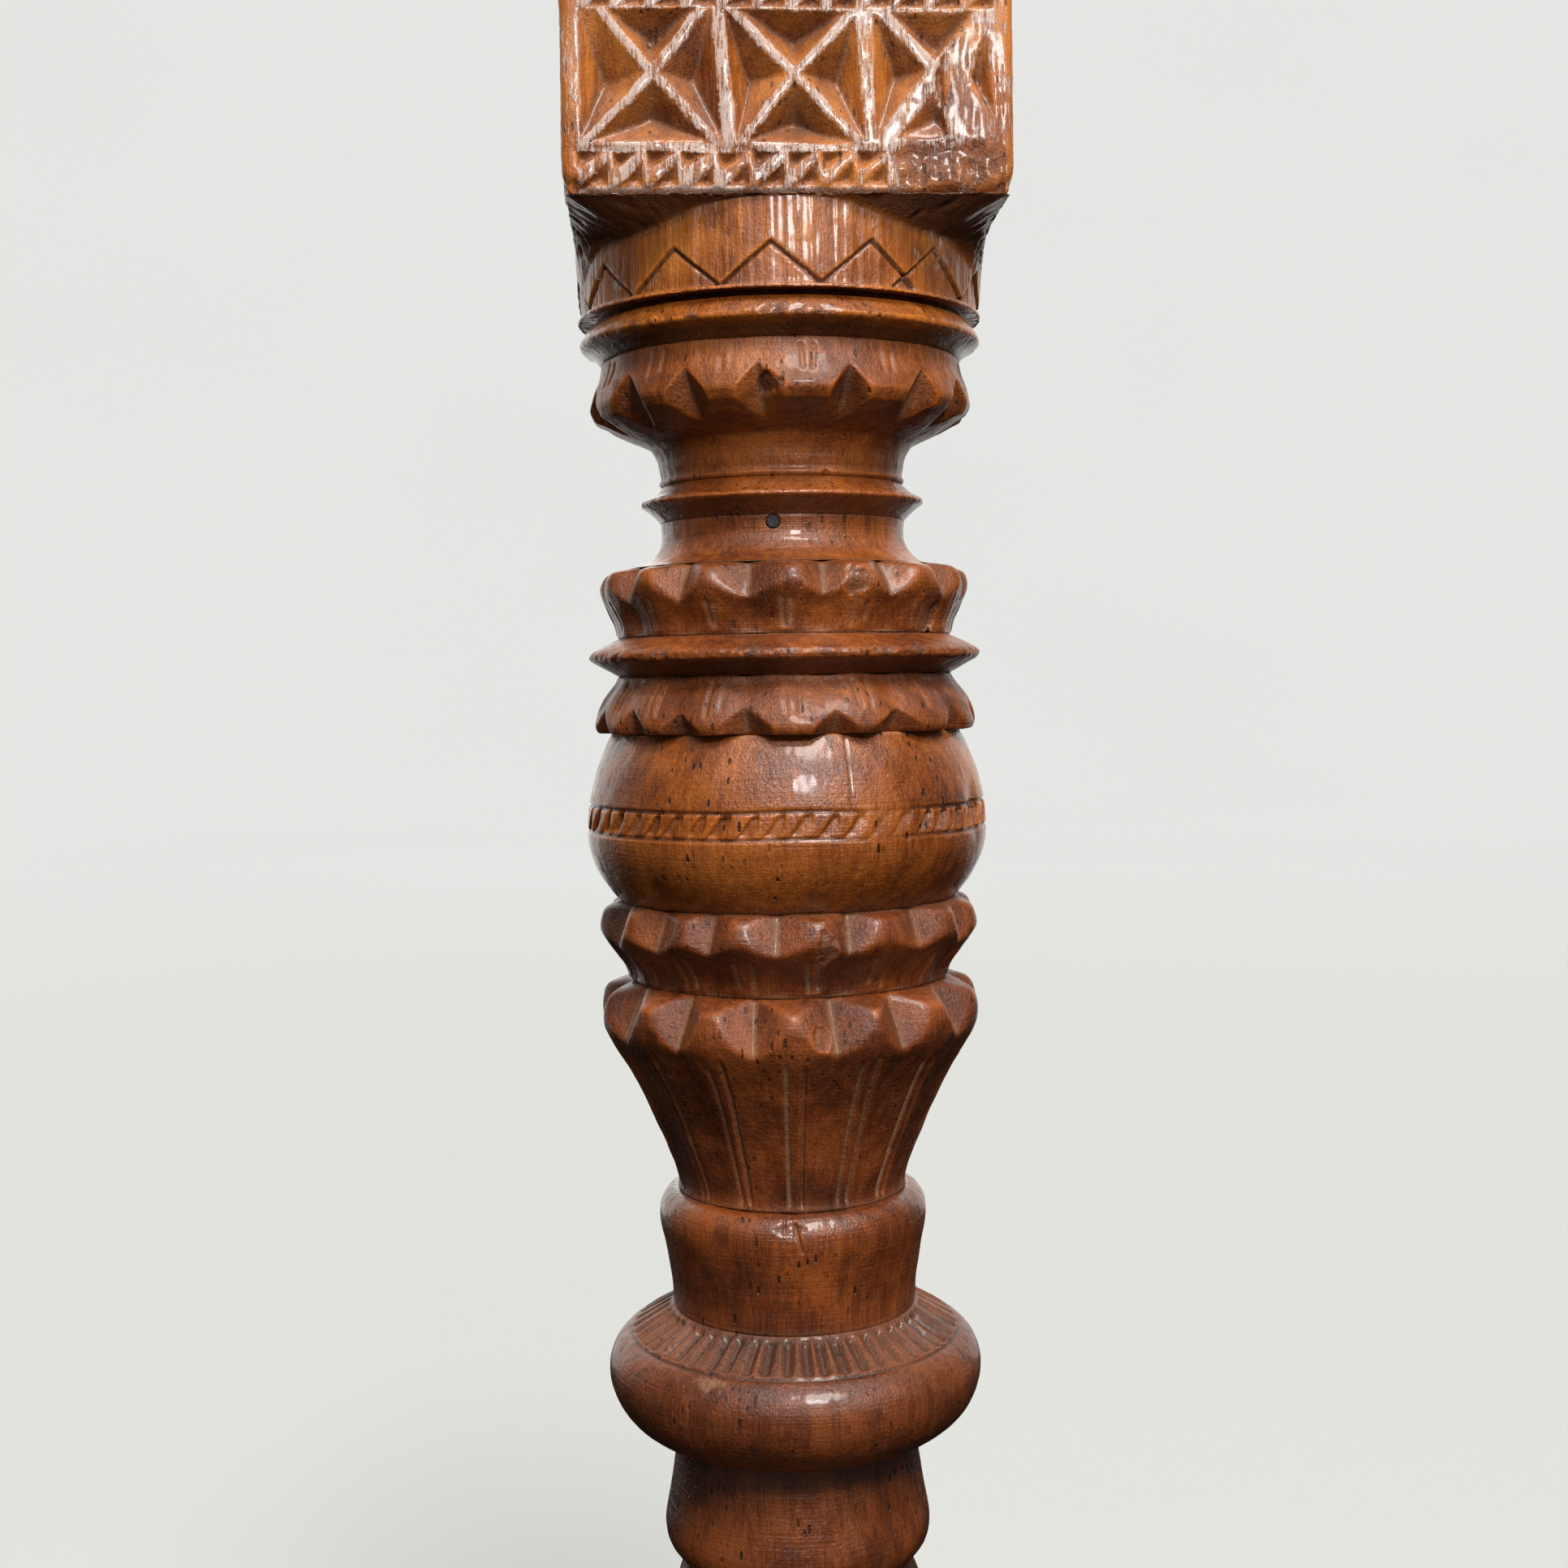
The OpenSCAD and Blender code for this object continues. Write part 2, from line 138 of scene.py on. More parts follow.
def profile(points, step, soft):
    """A smooth line through [r, z] points in even steps. A third number marks a corner."""
    runs, run = [], [points[0][:2]]
    for p in points[1:]:
        run.append(p[:2])
        if len(p) > 2:
            runs.append(run)
            run = [p[:2]]
    if len(run) > 1:
        runs.append(run)
    dense = []
    for run in runs:
        p = np.array(run, float)
        p = np.vstack([2 * p[0] - p[1], p, 2 * p[-1] - p[-2]])
        t = np.linspace(0, 1, 24, endpoint=False)[:, None]
        for k in range(1, len(p) - 2):
            a, b, c, d = p[k - 1:k + 3]
            if len(run) == 2:
                dense.append(b + (c - b) * t)
            else:
                dense.append(0.5 * (2 * b + (c - a) * t + (2 * a - 5 * b + 4 * c - d) * t ** 2
                                    + (3 * b - a - 3 * c + d) * t ** 3))
    dense = np.vstack(dense + [np.array([points[-1][:2]], float)])
    along = np.concatenate([[0], np.cumsum(np.linalg.norm(np.diff(dense, axis=0), axis=1))])
    count = max(4, int(round(along[-1] / step)))
    even = np.linspace(0, along[-1], count * 4 + 1)
    line = np.stack([np.interp(even, along, dense[:, k]) for k in (0, 1)], axis=1)
    reach = max(1, int(round(3 * soft / (step / 4))))
    kernel = np.exp(-0.5 * (np.arange(-reach, reach + 1) * step / 4 / soft) ** 2)
    kernel /= kernel.sum()
    before, after = 2 * line[0] - line[reach:0:-1], 2 * line[-1] - line[-2:-reach - 2:-1]
    padded = np.vstack([before, line, after])
    line = np.stack([np.convolve(padded[:, k], kernel, "valid") for k in (0, 1)], axis=1)
    return line[::4]


# ---------------------------------------------------------------- turned members

class Turned:
    """A turned member as a grid: rows run round its section, columns round its axis."""

    def __init__(self, name, points, soft=0.35, step=0.56):
        self.name = name
        self.z0, self.h = member_z(name)[0], height_of(name)
        outside = profile(points, step, soft)
        outside[0, 1], outside[-1, 1] = 0, self.h
        foot_r, head_r = outside[0, 0], outside[-1, 0]

        def across(r, near, z):
            """A flat end from the bore out, with close rows near the outside."""
            inner = np.linspace(BORE_R, r - near, 7)[:-1]
            outer = np.linspace(r - near, r, max(2, int(near / 0.8)) + 1)[:-1]
            return [(a, z) for a in np.concatenate([inner, outer])]

        rows = across(foot_r, 3.0, 0) + [tuple(p) for p in outside]
        rows += across(head_r, 8.0, self.h)[::-1]
        rows += [(BORE_R, self.h * t) for t in (0.66, 0.33)]
        rows = np.array(rows)
        self.rng = np.random.default_rng(sum(map(ord, name)))
        self.seed = sum(map(ord, name)) % 997
        self.t = np.tile(np.linspace(-math.pi, math.pi, COLUMNS, endpoint=False), (len(rows), 1))
        self.r = np.tile(rows[:, :1], (1, COLUMNS))
        self.z = np.tile(rows[:, 1:], (1, COLUMNS))
        self.marks = {key: np.zeros_like(self.r) for key in ("dust", "dark", "lime", "scar")}
        # the bore stays true, and polish isn't rubbed off the edges of a seam
        self.free = smoothstep(BORE_R + 2, BORE_R + 8, self.r)
        self.calm = np.ones_like(self.r)

    def xyz(self):
        return self.r * np.sin(self.t), -self.r * np.cos(self.t), self.z + self.z0

    def field(self, across, along, octaves=3, seed=0):
        """Noise over the wood, with the size of its hills across and along the grain."""
        x, y, z = self.xyz()
        return fbm(x / across, y / across, z / along, octaves, self.seed + seed)

    def stamp(self, key, amount):
        """Marks the wood wherever the amount is more than its mark so far."""
        self.marks[key] = np.maximum(self.marks[key], amount)

    def push(self, depth):
        """Moves the surface inwards by a depth in millimetres."""
        dr = np.roll(self.r, -1, 0) - np.roll(self.r, 1, 0)
        dz = np.roll(self.z, -1, 0) - np.roll(self.z, 1, 0)
        size = np.sqrt(dr ** 2 + dz ** 2) + 1e-6
        depth = depth * self.free
        self.r = self.r - depth * dz / size
        self.z = self.z + depth * dr / size

    def notch(self, angle, low, high, half, worn=0.5, twist=0.0, hollow=0.0):
        """Cuts a V whose valley runs from the point low to the point high."""
        d = wrap(self.t - angle)
        picked = np.where((np.abs(d) < 0.6).any(axis=0))[0]
        d, r, z = d[:, picked], self.r[:, picked], self.z[:, picked]
        v, rho = r * np.sin(d), r * np.cos(d)
        run = np.array(high) - np.array(low)
        run = run / np.linalg.norm(run)
        nr, nz = run[1], -run[0]
        along = (rho - low[0]) * run[0] + (z - low[1]) * run[1]
        u = (rho - low[0]) * nr + (z - low[1]) * nz
        vv = v - twist * along
        limit = (np.sqrt(vv ** 2 + 0.12) - 0.2) / math.tan(half)
        limit = limit - hollow * np.clip(1 - (vv / 7) ** 2, 0, 1)
        gap = np.clip((u - limit) / worn, -30, 30)
        shift = worn * np.log1p(np.exp(gap)) * (np.cos(d) > 0.3) * self.free[:, picked]
        rho, z = rho - shift * nr, z - shift * nz
        self.r[:, picked] = np.sqrt(rho ** 2 + v ** 2)
        self.t[:, picked] = angle + np.arctan2(v, rho)
        self.z[:, picked] = z
        cut = smoothstep(0.5, 2.0, shift)
        for key, amount in (("dust", np.exp(-(vv / 0.9) ** 2) * cut), ("scar", 0.2 * cut)):
            self.marks[key][:, picked] = np.maximum(self.marks[key][:, picked], amount)

    def groove(self, angle, z_from, z_to, width, depth, lean=0.0, dust=0.6, key="dust"):
        """A thin cut that runs up the surface, and leans sideways by a share of its height."""
        d = wrap(self.t - angle)
        mid = (z_from + z_to) / 2
        v = self.r * d - lean * (self.z - mid)
        ends = smoothstep(z_from, z_from + 1.5, self.z) * (1 - smoothstep(z_to - 1.5, z_to, self.z))
        line = np.exp(-(v / width) ** 2) * ends * (np.abs(d) < 0.5) * (self.free > 0.5)
        self.push(depth * line)
        self.stamp(key, line * dust)

    def dent(self, angle, z, across, along, depth, key=None):
        """A soft dent, or with a negative depth a bump."""
        d = wrap(self.t - angle)
        far = (self.r * d / across) ** 2 + ((self.z - z) / along) ** 2
        line = np.exp(-far) * (np.abs(d) < 0.8) * (self.free > 0.5)
        self.push(depth * line)
        if key:
            self.stamp(key, line)

    def stain(self, angle, z, across, along, strength=1.2):
        """A ragged patch of old dust or putty."""
        v = wrap(self.t - angle) * self.r
        near = np.exp(-(v / across) ** 2 - ((self.z - z) / along) ** 2)
        ragged = near + 0.45 * self.field(1.6, 1.6, 3, 21)
        self.stamp("dust", strength * smoothstep(0.42, 0.62, ragged))

    def break_off(self, angle, z, across, along, depth, seed=0):
        """A broken patch with short torn fibres in it."""
        d = wrap(self.t - angle)
        v = self.r * d
        edge = self.field(2.2, 4.0, 3, seed + 5) * 0.35
        far = np.sqrt((v / across) ** 2 + ((self.z - z) / along) ** 2)
        inside = 1 - smoothstep(0.75, 1.0, far + edge)
        inside = inside * (np.abs(d) < 0.8) * (self.free > 0.5)
        fibres = 0.5 + 0.5 * noise3(v / 0.9, 0 * v, self.z / 9, self.seed + seed)
        self.push(inside * (depth + 0.5 * fibres))
        self.stamp("scar", 0.3 * inside)
        self.stamp("dust", inside * 0.5 * fibres)

    def seam(self, low=True, high=True):
        """A fine line of dirt where the member meets its neighbour."""
        for wanted, away in ((low, self.z), (high, self.h - self.z)):
            if wanted:
                near = np.exp(-(away / 0.45) ** 2) * self.free
                self.r = self.r - 0.2 * near
                self.stamp("dark", 0.2 * near)
                self.stamp("dust", 0.5 * near)
                self.calm = self.calm * smoothstep(0.4, 1.5, away)

    def weather(self, waves=0.12, fine=0.05):
        """Slow waves, fine grain and tool marks all over."""
        self.push(self.field(26, 40, 2, 1) * waves + self.field(1.6, 14, 2, 2) * fine
                  + self.field(5, 5, 2, 3) * fine)

    def build(self, material, flip=False):
        """Makes the piece. A flipped member stands on its head."""
        x, y, z = self.xyz()
        if flip:
            z = 2 * self.z0 + self.h - z
        grid = np.stack([x, y, z], axis=-1)
        rows, columns = grid.shape[:2]
        place = np.arange(rows * columns).reshape(rows, columns)
        right, up = np.roll(place, -1, 1), np.roll(place, -1, 0)
        quads = np.stack([place, right, np.roll(up, -1, 1), up], axis=-1).reshape(-1, 4)
        if flip:
            quads = quads[:, ::-1]
        # what stands out from a slightly or a strongly smoothed copy is an edge or a hollow
        smooth, shapes = grid.copy(), {}
        for k in range(46):
            for axis in (0, 1):
                smooth = (np.roll(smooth, 1, axis) + np.roll(smooth, -1, axis) + 2 * smooth) / 4
            if k in (5, 45):
                shapes[k] = smooth
        du = np.roll(grid, -1, 1) - np.roll(grid, 1, 1)
        dv = np.roll(grid, -1, 0) - np.roll(grid, 1, 0)
        normal = np.cross(du, dv)
        normal /= np.linalg.norm(normal, axis=-1, keepdims=True) + 1e-9
        if flip:
            normal = -normal
        edge = ((grid - shapes[5]) * normal).sum(-1)
        edge = np.where(edge > 0, edge * self.calm, edge)
        hollow = -((grid - shapes[45]) * normal).sum(-1)
        marks = dict(self.marks, edge=edge, hollow=hollow)
        make_mesh(self.name, grid.reshape(-1, 3), quads, marks, material)


def make_mesh(name, points, quads, marks, material):
    """Makes the piece that stands for a CAD node, from points in millimetres."""
    quads = np.asarray(quads)
    mesh = bpy.data.meshes.new(name + "_wood")
    mesh.vertices.add(len(points))
    mesh.vertices.foreach_set("co", (np.asarray(points) * MM).ravel())
    mesh.loops.add(quads.size)
    mesh.loops.foreach_set("vertex_index", quads.ravel())
    mesh.polygons.add(len(quads))
    mesh.polygons.foreach_set("loop_start", np.arange(len(quads)) * quads.shape[1])
    mesh.update(calc_edges=True)
    mesh.polygons.foreach_set("use_smooth", np.ones(len(quads), bool))
    for key, values in marks.items():
        layer = mesh.attributes.new(key, "FLOAT", "POINT")
        layer.data.foreach_set("value", np.ascontiguousarray(values, dtype=np.float32).ravel())
    mesh.materials.append(material)
    piece = bpy.data.objects.new(name + "_carved", mesh)
    bpy.context.scene.collection.objects.link(piece)
    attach(piece, "root")
    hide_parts(name)


# ---------------------------------------------------------------- materials

def srgb(red, green, blue):
    """A colour from screen values of 0 to 255."""
    def linear(c):
        c = c / 255
        return c / 12.92 if c <= 0.04045 else ((c + 0.055) / 1.055) ** 2.4
    return linear(red), linear(green), linear(blue), 1.0


class Nodes:
    """Writes a material's node tree."""

    def __init__(self, material):
        material.use_nodes = True
        self.tree = material.node_tree
        self.shader = self.tree.nodes["Principled BSDF"]

    def add(self, kind, sockets=(), out=0, **settings):
        made = self.tree.nodes.new(kind)
        for key, value in settings.items():
            setattr(made, key, value)
        for key, value in dict(sockets).items():
            self.plug(value, made.inputs[key])
        return made.outputs[out]

    def plug(self, value, socket):
        if isinstance(value, bpy.types.NodeSocket):
            self.tree.links.new(value, socket)
        else:
            socket.default_value = value

    def maths(self, operation, a, b=0.0):
        return self.add("ShaderNodeMath", {0: a, 1: b}, operation=operation)

    def times(self, a, b):
        return self.maths("MULTIPLY", a, b)

    def plus(self, a, b):
        return self.maths("ADD", a, b)

    def length(self, vector):
        return self.add("ShaderNodeVectorMath", {0: vector}, out=1, operation="LENGTH")

    def place(self):
        """The point's own place, in metres."""
        return self.add("ShaderNodeTexCoord", out=3)

    def band(self, value, lo, hi, to_lo=0.0, to_hi=1.0):
        return self.add("ShaderNodeMapRange", {0: value, 1: lo, 2: hi, 3: to_lo, 4: to_hi},
                        interpolation_type="SMOOTHSTEP", clamp=True)

    def blend(self, share, a, b, how="MIX"):
        return self.add("ShaderNodeMix", {0: share, 6: a, 7: b}, out=2, data_type="RGBA", blend_type=how)

    def stretched(self, place, x, y, z):
        return self.add("ShaderNodeVectorMath", {0: place, 1: (x, y, z)}, operation="MULTIPLY")

    def noise(self, place, scale, detail=2.0, rough=0.5, twist=0.0):
        return self.add("ShaderNodeTexNoise", {"Vector": place, "Scale": scale, "Detail": detail,
                                               "Roughness": rough, "Distortion": twist})

    def mark(self, name):
        return self.add("ShaderNodeAttribute", out=2, attribute_name=name)


def wood(name, dark, mid, light, gloss=0.3, coat=0.35, dusty=0.6, limed=0.0, worn=0.6, pores=0.8, lathe=0.5):
    """Old waxed hardwood, its grain running up the post. The mesh's marks say where it is worn or dirty, and
    where shade is painted on.
    """
    grime = 0.6
    material = bpy.data.materials.new(name)
    n = Nodes(material)
    mm = n.stretched(n.place(), 1 / MM, 1 / MM, 1 / MM)
    fibre = n.noise(n.stretched(mm, 1, 1, 0.06), 2.2, 3, 0.65)
    streak = n.noise(n.stretched(mm, 1, 1, 0.03), 0.55, 4, 0.6, 0.3)
    clouds = n.noise(mm, 0.04, 3, 0.55)
    patches = n.noise(n.stretched(mm, 1, 1, 0.6), 0.13, 4, 0.62)
    speckle = n.noise(mm, 1.0, 3, 0.65)
    # growth rings about a pith that sits behind the axis
    bent = n.add("ShaderNodeVectorMath", {0: n.stretched(mm, 1, 1, 0), 1: (21, 34, 0)}, operation="SUBTRACT")
    away = n.plus(n.length(bent), n.times(n.noise(n.stretched(mm, 1, 1, 0.15), 0.05, 2), 16.0))
    rings = n.maths("SINE", n.times(away, 1.5))
    # open pores: short dark dashes along the grain, in drifts
    cell = n.tree.nodes.new("ShaderNodeTexVoronoi")
    n.plug(n.stretched(mm, 1, 1, 0.32), cell.inputs["Vector"])
    cell.inputs["Scale"].default_value = 0.5
    chosen = n.band(n.add("ShaderNodeSeparateColor", {0: cell.outputs["Color"]}), 0.5, 0.56)
    drift = n.band(n.noise(mm, 0.045, 2), 0.44, 0.56)
    pore = n.times(n.band(cell.outputs["Distance"], 0.27, 0.19), n.times(chosen, drift))
    pore = n.times(pore, pores)

    edge = n.band(n.mark("edge"), 0.06, 0.30)
    hollow = n.band(n.mark("hollow"), 0.15, 1.4)
    crease = n.band(n.mark("edge"), -0.07, -0.3)
    dust, dark_and_painted_shade = n.mark("dust"), n.mark("dark")

    tone = n.plus(n.times(streak, 0.28), n.times(fibre, 0.42))
    tone = n.plus(tone, n.times(rings, 0.02))
    tone = n.plus(tone, n.times(clouds, 0.6))
    colour = n.blend(n.band(tone, 0.46, 0.66), dark, mid)
    colour = n.blend(n.band(tone, 0.61, 0.80), colour, light)
    # old finish: patches of dark polish, and dirt in the hollows
    colour = n.blend(n.times(n.band(patches, 0.48, 0.74), grime * 0.75), colour,
                     (dark[0] * 0.6, dark[1] * 0.5, dark[2] * 0.45, 1))
    dirt = n.times(hollow, n.band(speckle, 0.25, 0.65, 0.45, 1.0))
    colour = n.blend(n.times(dirt, grime), colour, (dark[0] * 0.36, dark[1] * 0.3, dark[2] * 0.3, 1))
    # handled edges lose their dark polish
    rub = n.times(edge, n.band(patches, 0.3, 0.62, 0.2, 1.0))
    rubbed = (min(1, light[0] * 1.55), light[1] * 1.4, light[2] * 1.1, 1)
    colour = n.blend(n.times(rub, worn), colour, rubbed)
    # grey-tan dust lies in the cuts
    settled = n.maths("MAXIMUM", n.times(crease, 0.5), dust)
    settled = n.times(settled, n.band(speckle, 0.3, 0.62, 0.3, 1.0))
    settled = n.times(settled, dusty)
    colour = n.blend(settled, colour, srgb(142, 104, 74))
    specks = n.times(n.band(n.noise(mm, 1.7, 2, 0.5, 0.4), 0.66, 0.72), n.band(patches, 0.35, 0.6))
    colour = n.blend(n.times(specks, 0.3 * dusty), colour, srgb(178, 128, 84))
    colour = n.blend(n.times(pore, 0.92), colour, srgb(30, 15, 10))
    raw = n.mark("scar")
    colour = n.blend(n.times(raw, 0.55), colour, srgb(88, 60, 42))
    # the dark mark: dark joints, and painted shade under rings and corners, in cut lines, cracks and holes,
    # and on walls that face down
    colour = n.blend(n.times(dark_and_painted_shade, 0.9), colour, srgb(22, 12, 8))
    rough = n.band(n.noise(n.stretched(mm, 1, 1, 0.3), 0.4, 3, 0.6), 0.3, 0.7, gloss - 0.09, gloss + 0.05)
    rough = n.plus(rough, n.band(n.noise(mm, 0.3, 3, 0.6, 0.3), 0.5, 0.7, 0.0, 0.2))
    rough = n.plus(rough, n.times(settled, 0.5))
    rough = n.plus(rough, n.times(n.times(hollow, 0.25), grime))
    rough = n.plus(rough, n.times(rub, -0.05))
    rough = n.plus(rough, n.times(raw, 0.25))
    height = n.plus(n.times(fibre, 0.5), n.times(speckle, 0.9))
    height = n.plus(height, n.times(n.times(speckle, raw), 3.0))
    turning = n.noise(n.stretched(mm, 0.03, 0.03, 1), 1.5, 3, 0.6)
    height = n.plus(height, n.times(turning, lathe))
    height = n.maths("SUBTRACT", height, n.times(pore, 1.2))
    if limed:
        chalk_streak = n.noise(n.stretched(mm, 1, 1, 0.1), 1.7, 4, 0.7)
        chalk_patch = n.noise(n.stretched(mm, 1, 1, 0.5), 0.14, 3, 0.6)
        hold = n.plus(n.times(chalk_streak, 2.1), n.times(chalk_patch, 1.1))
        chalk = n.plus(n.maths("SUBTRACT", hold, 1.1), n.times(n.mark("lime"), 0.58 * limed))
        chalk = n.times(n.band(chalk, 0.9, 0.97), n.band(n.mark("lime"), 0.02, 0.2))
        colour = n.blend(n.times(chalk, 0.86), colour, srgb(200, 176, 164))
        rough = n.plus(rough, n.times(chalk, 0.22))
        height = n.plus(height, n.times(chalk, 0.6))
    n.plug(colour, n.shader.inputs["Base Color"])
    n.plug(n.maths("MINIMUM", rough, 0.85), n.shader.inputs["Roughness"])
    n.shader.inputs["Coat Weight"].default_value = coat
    n.shader.inputs["Coat Roughness"].default_value = 0.13
    bump = n.add("ShaderNodeBump", {"Strength": 1.0, "Distance": 0.0003, "Height": height})
    n.plug(bump, n.shader.inputs["Normal"])
    return material


# ---------------------------------------------------------------- carved detail

def spread(carved, count, rng, wobble):
    """Angles round a member: those carved at the front, given in degrees, and the rest evenly spaced."""
    first, last = carved[-1], carved[0] + 360
    more = count - len(carved)
    rest = [first + (last - first) * (k + 1) / (more + 1) + rng.normal(0, wobble) for k in range(more)]
    return [math.radians(a) for a in list(carved) + rest]


def between(angles):
    """The angles halfway between neighbours."""
    ordered = sorted(a % (2 * math.pi) for a in angles)
    return [a + ((b - a) % (2 * math.pi)) / 2 for a, b in zip(ordered, ordered[1:] + ordered[:1])]


def notches(s, angles, low, high, half, worn=0.5, hollow=0.0):
    """A V at each angle, each a little different. Half is the half angle of the V in degrees."""
    for a in angles:
        j = s.rng.normal(0, 1, 6)
        s.notch(a, (low[0] + j[0] * 0.4, low[1] + j[1] * 0.5), (high[0] + j[2] * 0.4, high[1]),
                math.radians(half + j[3] * 3), worn=worn, twist=j[4] * 0.05, hollow=hollow)


def dents(s, rows):
    """Soft dents: an angle in degrees, a share of the height, two sizes and a depth for each."""
    for angle, share, across, along, depth in rows:
        s.dent(front(angle), share * s.h, across, along, depth)


def saddle(turns):
    """A wave with narrow crests, as between two gouge cuts."""
    return np.arcsin(0.96 * np.cos(turns)) / 1.29


def vein_pairs(s, angles, z_from, z_to, apart, width, depth, dust, lean=0.0):
    """Two fine cuts at each angle, each a little different."""
    mean_r = 50.0
    for a in angles:
        for side in (-1, 1):
            j = s.rng.normal(0, 1, 5)
            s.rng.random()   # not used, but every later draw depends on it
            s.groove(a + (side * apart / 2 + j[0] * 0.6) / mean_r,
                     z_from + abs(j[1]) * 1.2, z_to - abs(j[2]) * 1.2,
                     width * (1 + 0.2 * abs(j[0])), depth * max(0.3, 1 + 0.3 * j[3]),
                     lean=lean * side + j[4] * 0.05, dust=dust * s.rng.uniform(0.35, 1))


def scallop_ring(name, rim, foot, seat, rim_at, angles, tip_drop, half, material,
                 flip=False, breaks=(), veins=0.4):
    """A ring that swells to its rim, with notches down from its seat."""
    swell = rim - foot
    h = height_of(name)
    k = h * rim_at
    s = Turned(name, [[foot, 0], [foot + swell * 0.13, k * 0.25], [foot + swell * 0.45, k * 0.48],
                      [foot + swell * 0.8, k * 0.69], [rim - 0.1, k * 0.85], [rim, k],
                      [rim - 1.3, k + (h - k) * 0.65], [seat + 1, h, 1], [seat - 5, h]], soft=0.5, step=0.5)
    s.push(s.field(9, 9, 2, 8) * 0.25)
    a = spread(angles, 16, s.rng, 1.2)
    notches(s, a, (rim - 2.2, h - tip_drop), (seat, h), half, worn=0.7, hollow=0.3)
    vein_pairs(s, between(a), 0.3, k * 0.72, 3.3, width=0.6, depth=veins * 1.3, dust=1.2)
    # the underside is cut in flats between the veins
    s.push(0.8 * saddle(16 * (s.t - a[2])) * smoothstep(k * 0.8, k * 0.4, s.z) * smoothstep(-1, 2, s.z))
    s.stamp("dust", 0.7 * smoothstep(1.1, 0.3, s.z) * (s.z > 0.02))
    for angle, z, across, along, depth in breaks:
        s.break_off(front(angle), z, across, along, depth, seed=int(angle) + 90)
    s.weather()
    s.seam()
    s.build(material, flip=flip)


def crown(name, material):
    """A crown of petals on a smooth cove."""
    h = height_of(name)
    waist, rim = 35.6, 55.8
    hollow = arc((waist + 10, h * 0.13), 9.6, 9.6, (178, 165, 152, 140, 128))
    s = Turned(name, [[waist - 0.2, 0], [waist + 0.5, h * 0.035], [waist - 0.1, h * 0.07]] + hollow
               + [[rim - 7.2, h * 0.455], [rim - 4.6, h * 0.495], [rim - 1.2, h * 0.54, 1],
                  [rim, h * 0.62], [rim - 0.4, h * 0.69],
                  [rim - 1.2, h * 0.77], [rim - 2.7, h * 0.88], [rim - 3.4, h]], soft=0.35, step=0.55)
    a = spread((-54.8, -30.9, -8.6, 17.1, 41.4, 63.8), 15, s.rng, 1.5)
    notches(s, a, (rim - 11, h * 0.38), (rim - 0.9, h * 0.82), 55, worn=0.25, hollow=0.3)
    vein_pairs(s, between(a), h * 0.7, h * 1.0, 2.9, width=0.55, depth=0.42, dust=0.9, lean=0.06)
    s.break_off(front(-5.6), h * 0.64, 3.6, 2.8, 0.9, seed=3)
    s.stain(front(3), h * 0.7, 5, 2.2, 0.8)
    s.push(s.field(9, 9, 2, 8) * 0.2)
    # fine wrinkles across the smooth cove
    s.push(smoothstep(h * 0.42, h * 0.3, s.z) * s.field(9, 0.8, 2, 12) * 0.05)
    s.weather()
    s.seam()
    s.build(material)


def bead(name, material, flip=False, dings=()):
    """A bead with a sharp edge, and dings: an angle, a size and a depth for each."""
    h = height_of(name)
    r = 58.5
    s = Turned(name, [[r - 6, 0], [r - 3.6, h * 0.22], [r - 0.7, h * 0.36], [r, h * 0.44],
                      [r - 0.5, h * 0.55], [r - 2.9, h * 0.83], [r - 5, h * 0.9, 1], [r - 5, h]],
               soft=0.25, step=0.45)
    for angle, across, depth in dings:
        s.dent(front(angle), h * 0.46, across, 1.6, depth, key="scar")
    s.push(s.field(3, 3, 3, 9) * 0.25 * np.exp(-((s.z - h * 0.45) / 1.3) ** 2))
    # painted shade: the cone below the sharp edge and the step at the head are darkened
    s.marks["dark"] = smoothstep(h * 0.38, h * 0.2, s.z) * 0.85 + smoothstep(h * 0.86, h * 0.92, s.z) * 0.7
    s.weather()
    s.seam()
    s.build(material, flip=flip)


def neck_ring(name, material):
    """A thin sharp ring."""
    h = height_of(name)
    r, waist = 41.6, 35.6
    s = Turned(name, [[waist + 0.4, 0], [waist + 1.2, h * 0.12], [r - 2, h * 0.36], [r - 0.3, h * 0.47],
                      [r, h * 0.53], [r - 0.6, h * 0.6], [r - 3.3, h * 0.75],
                      [waist + 0.6, h * 0.93], [waist - 0.2, h]],
               soft=0.22, step=0.4)
    s.push(s.field(3, 3, 3, 9) * 0.22 * np.exp(-((s.z - h * 0.53) / 1.2) ** 2))
    # painted shade on the ring's underside
    s.marks["dark"] = smoothstep(h * 0.5, h * 0.36, s.z) * 0.55
    s.weather(0.08)
    s.seam(high=False)
    s.build(material)


def cove(name, material):
    """The narrow cove of the neck, with the hole of the small peg."""
    h = height_of(name)
    neck, waist, hollow = 47.0, 35.6, h * 0.74
    quarter = arc((neck, hollow), neck - waist, hollow, range(270, 179, -10))
    s = Turned(name, quarter + [[waist + 0.1, h * 0.9], [waist + 0.4, h]], soft=0.3, step=0.32)
    x, y, z = s.xyz()
    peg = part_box("neck_peg")
    peg_x, peg_z = (peg[0][0] + peg[1][0]) / 2 / MM, (peg[0][2] + peg[1][2]) / 2 / MM
    far = np.sqrt((x - peg_x) ** 2 + (z - peg_z) ** 2)
    hole = (1 - smoothstep(1.7, 2.2, far)) * (y < 0)
    s.push(hole * 0.7)
    # painted shade in and round the peg's hole
    s.marks["dark"] = (1 - smoothstep(1.8, 2.5, far)) * (y < 0) * 0.8
    # dust on the wide foot of the cove
    s.marks["dust"] = smoothstep(waist + 8.5, waist + 11, s.r) * 0.8
    s.push(s.field(9, 0.9, 2, 12) * 0.05)
    s.weather(0.08)
    s.seam()
    s.build(material)


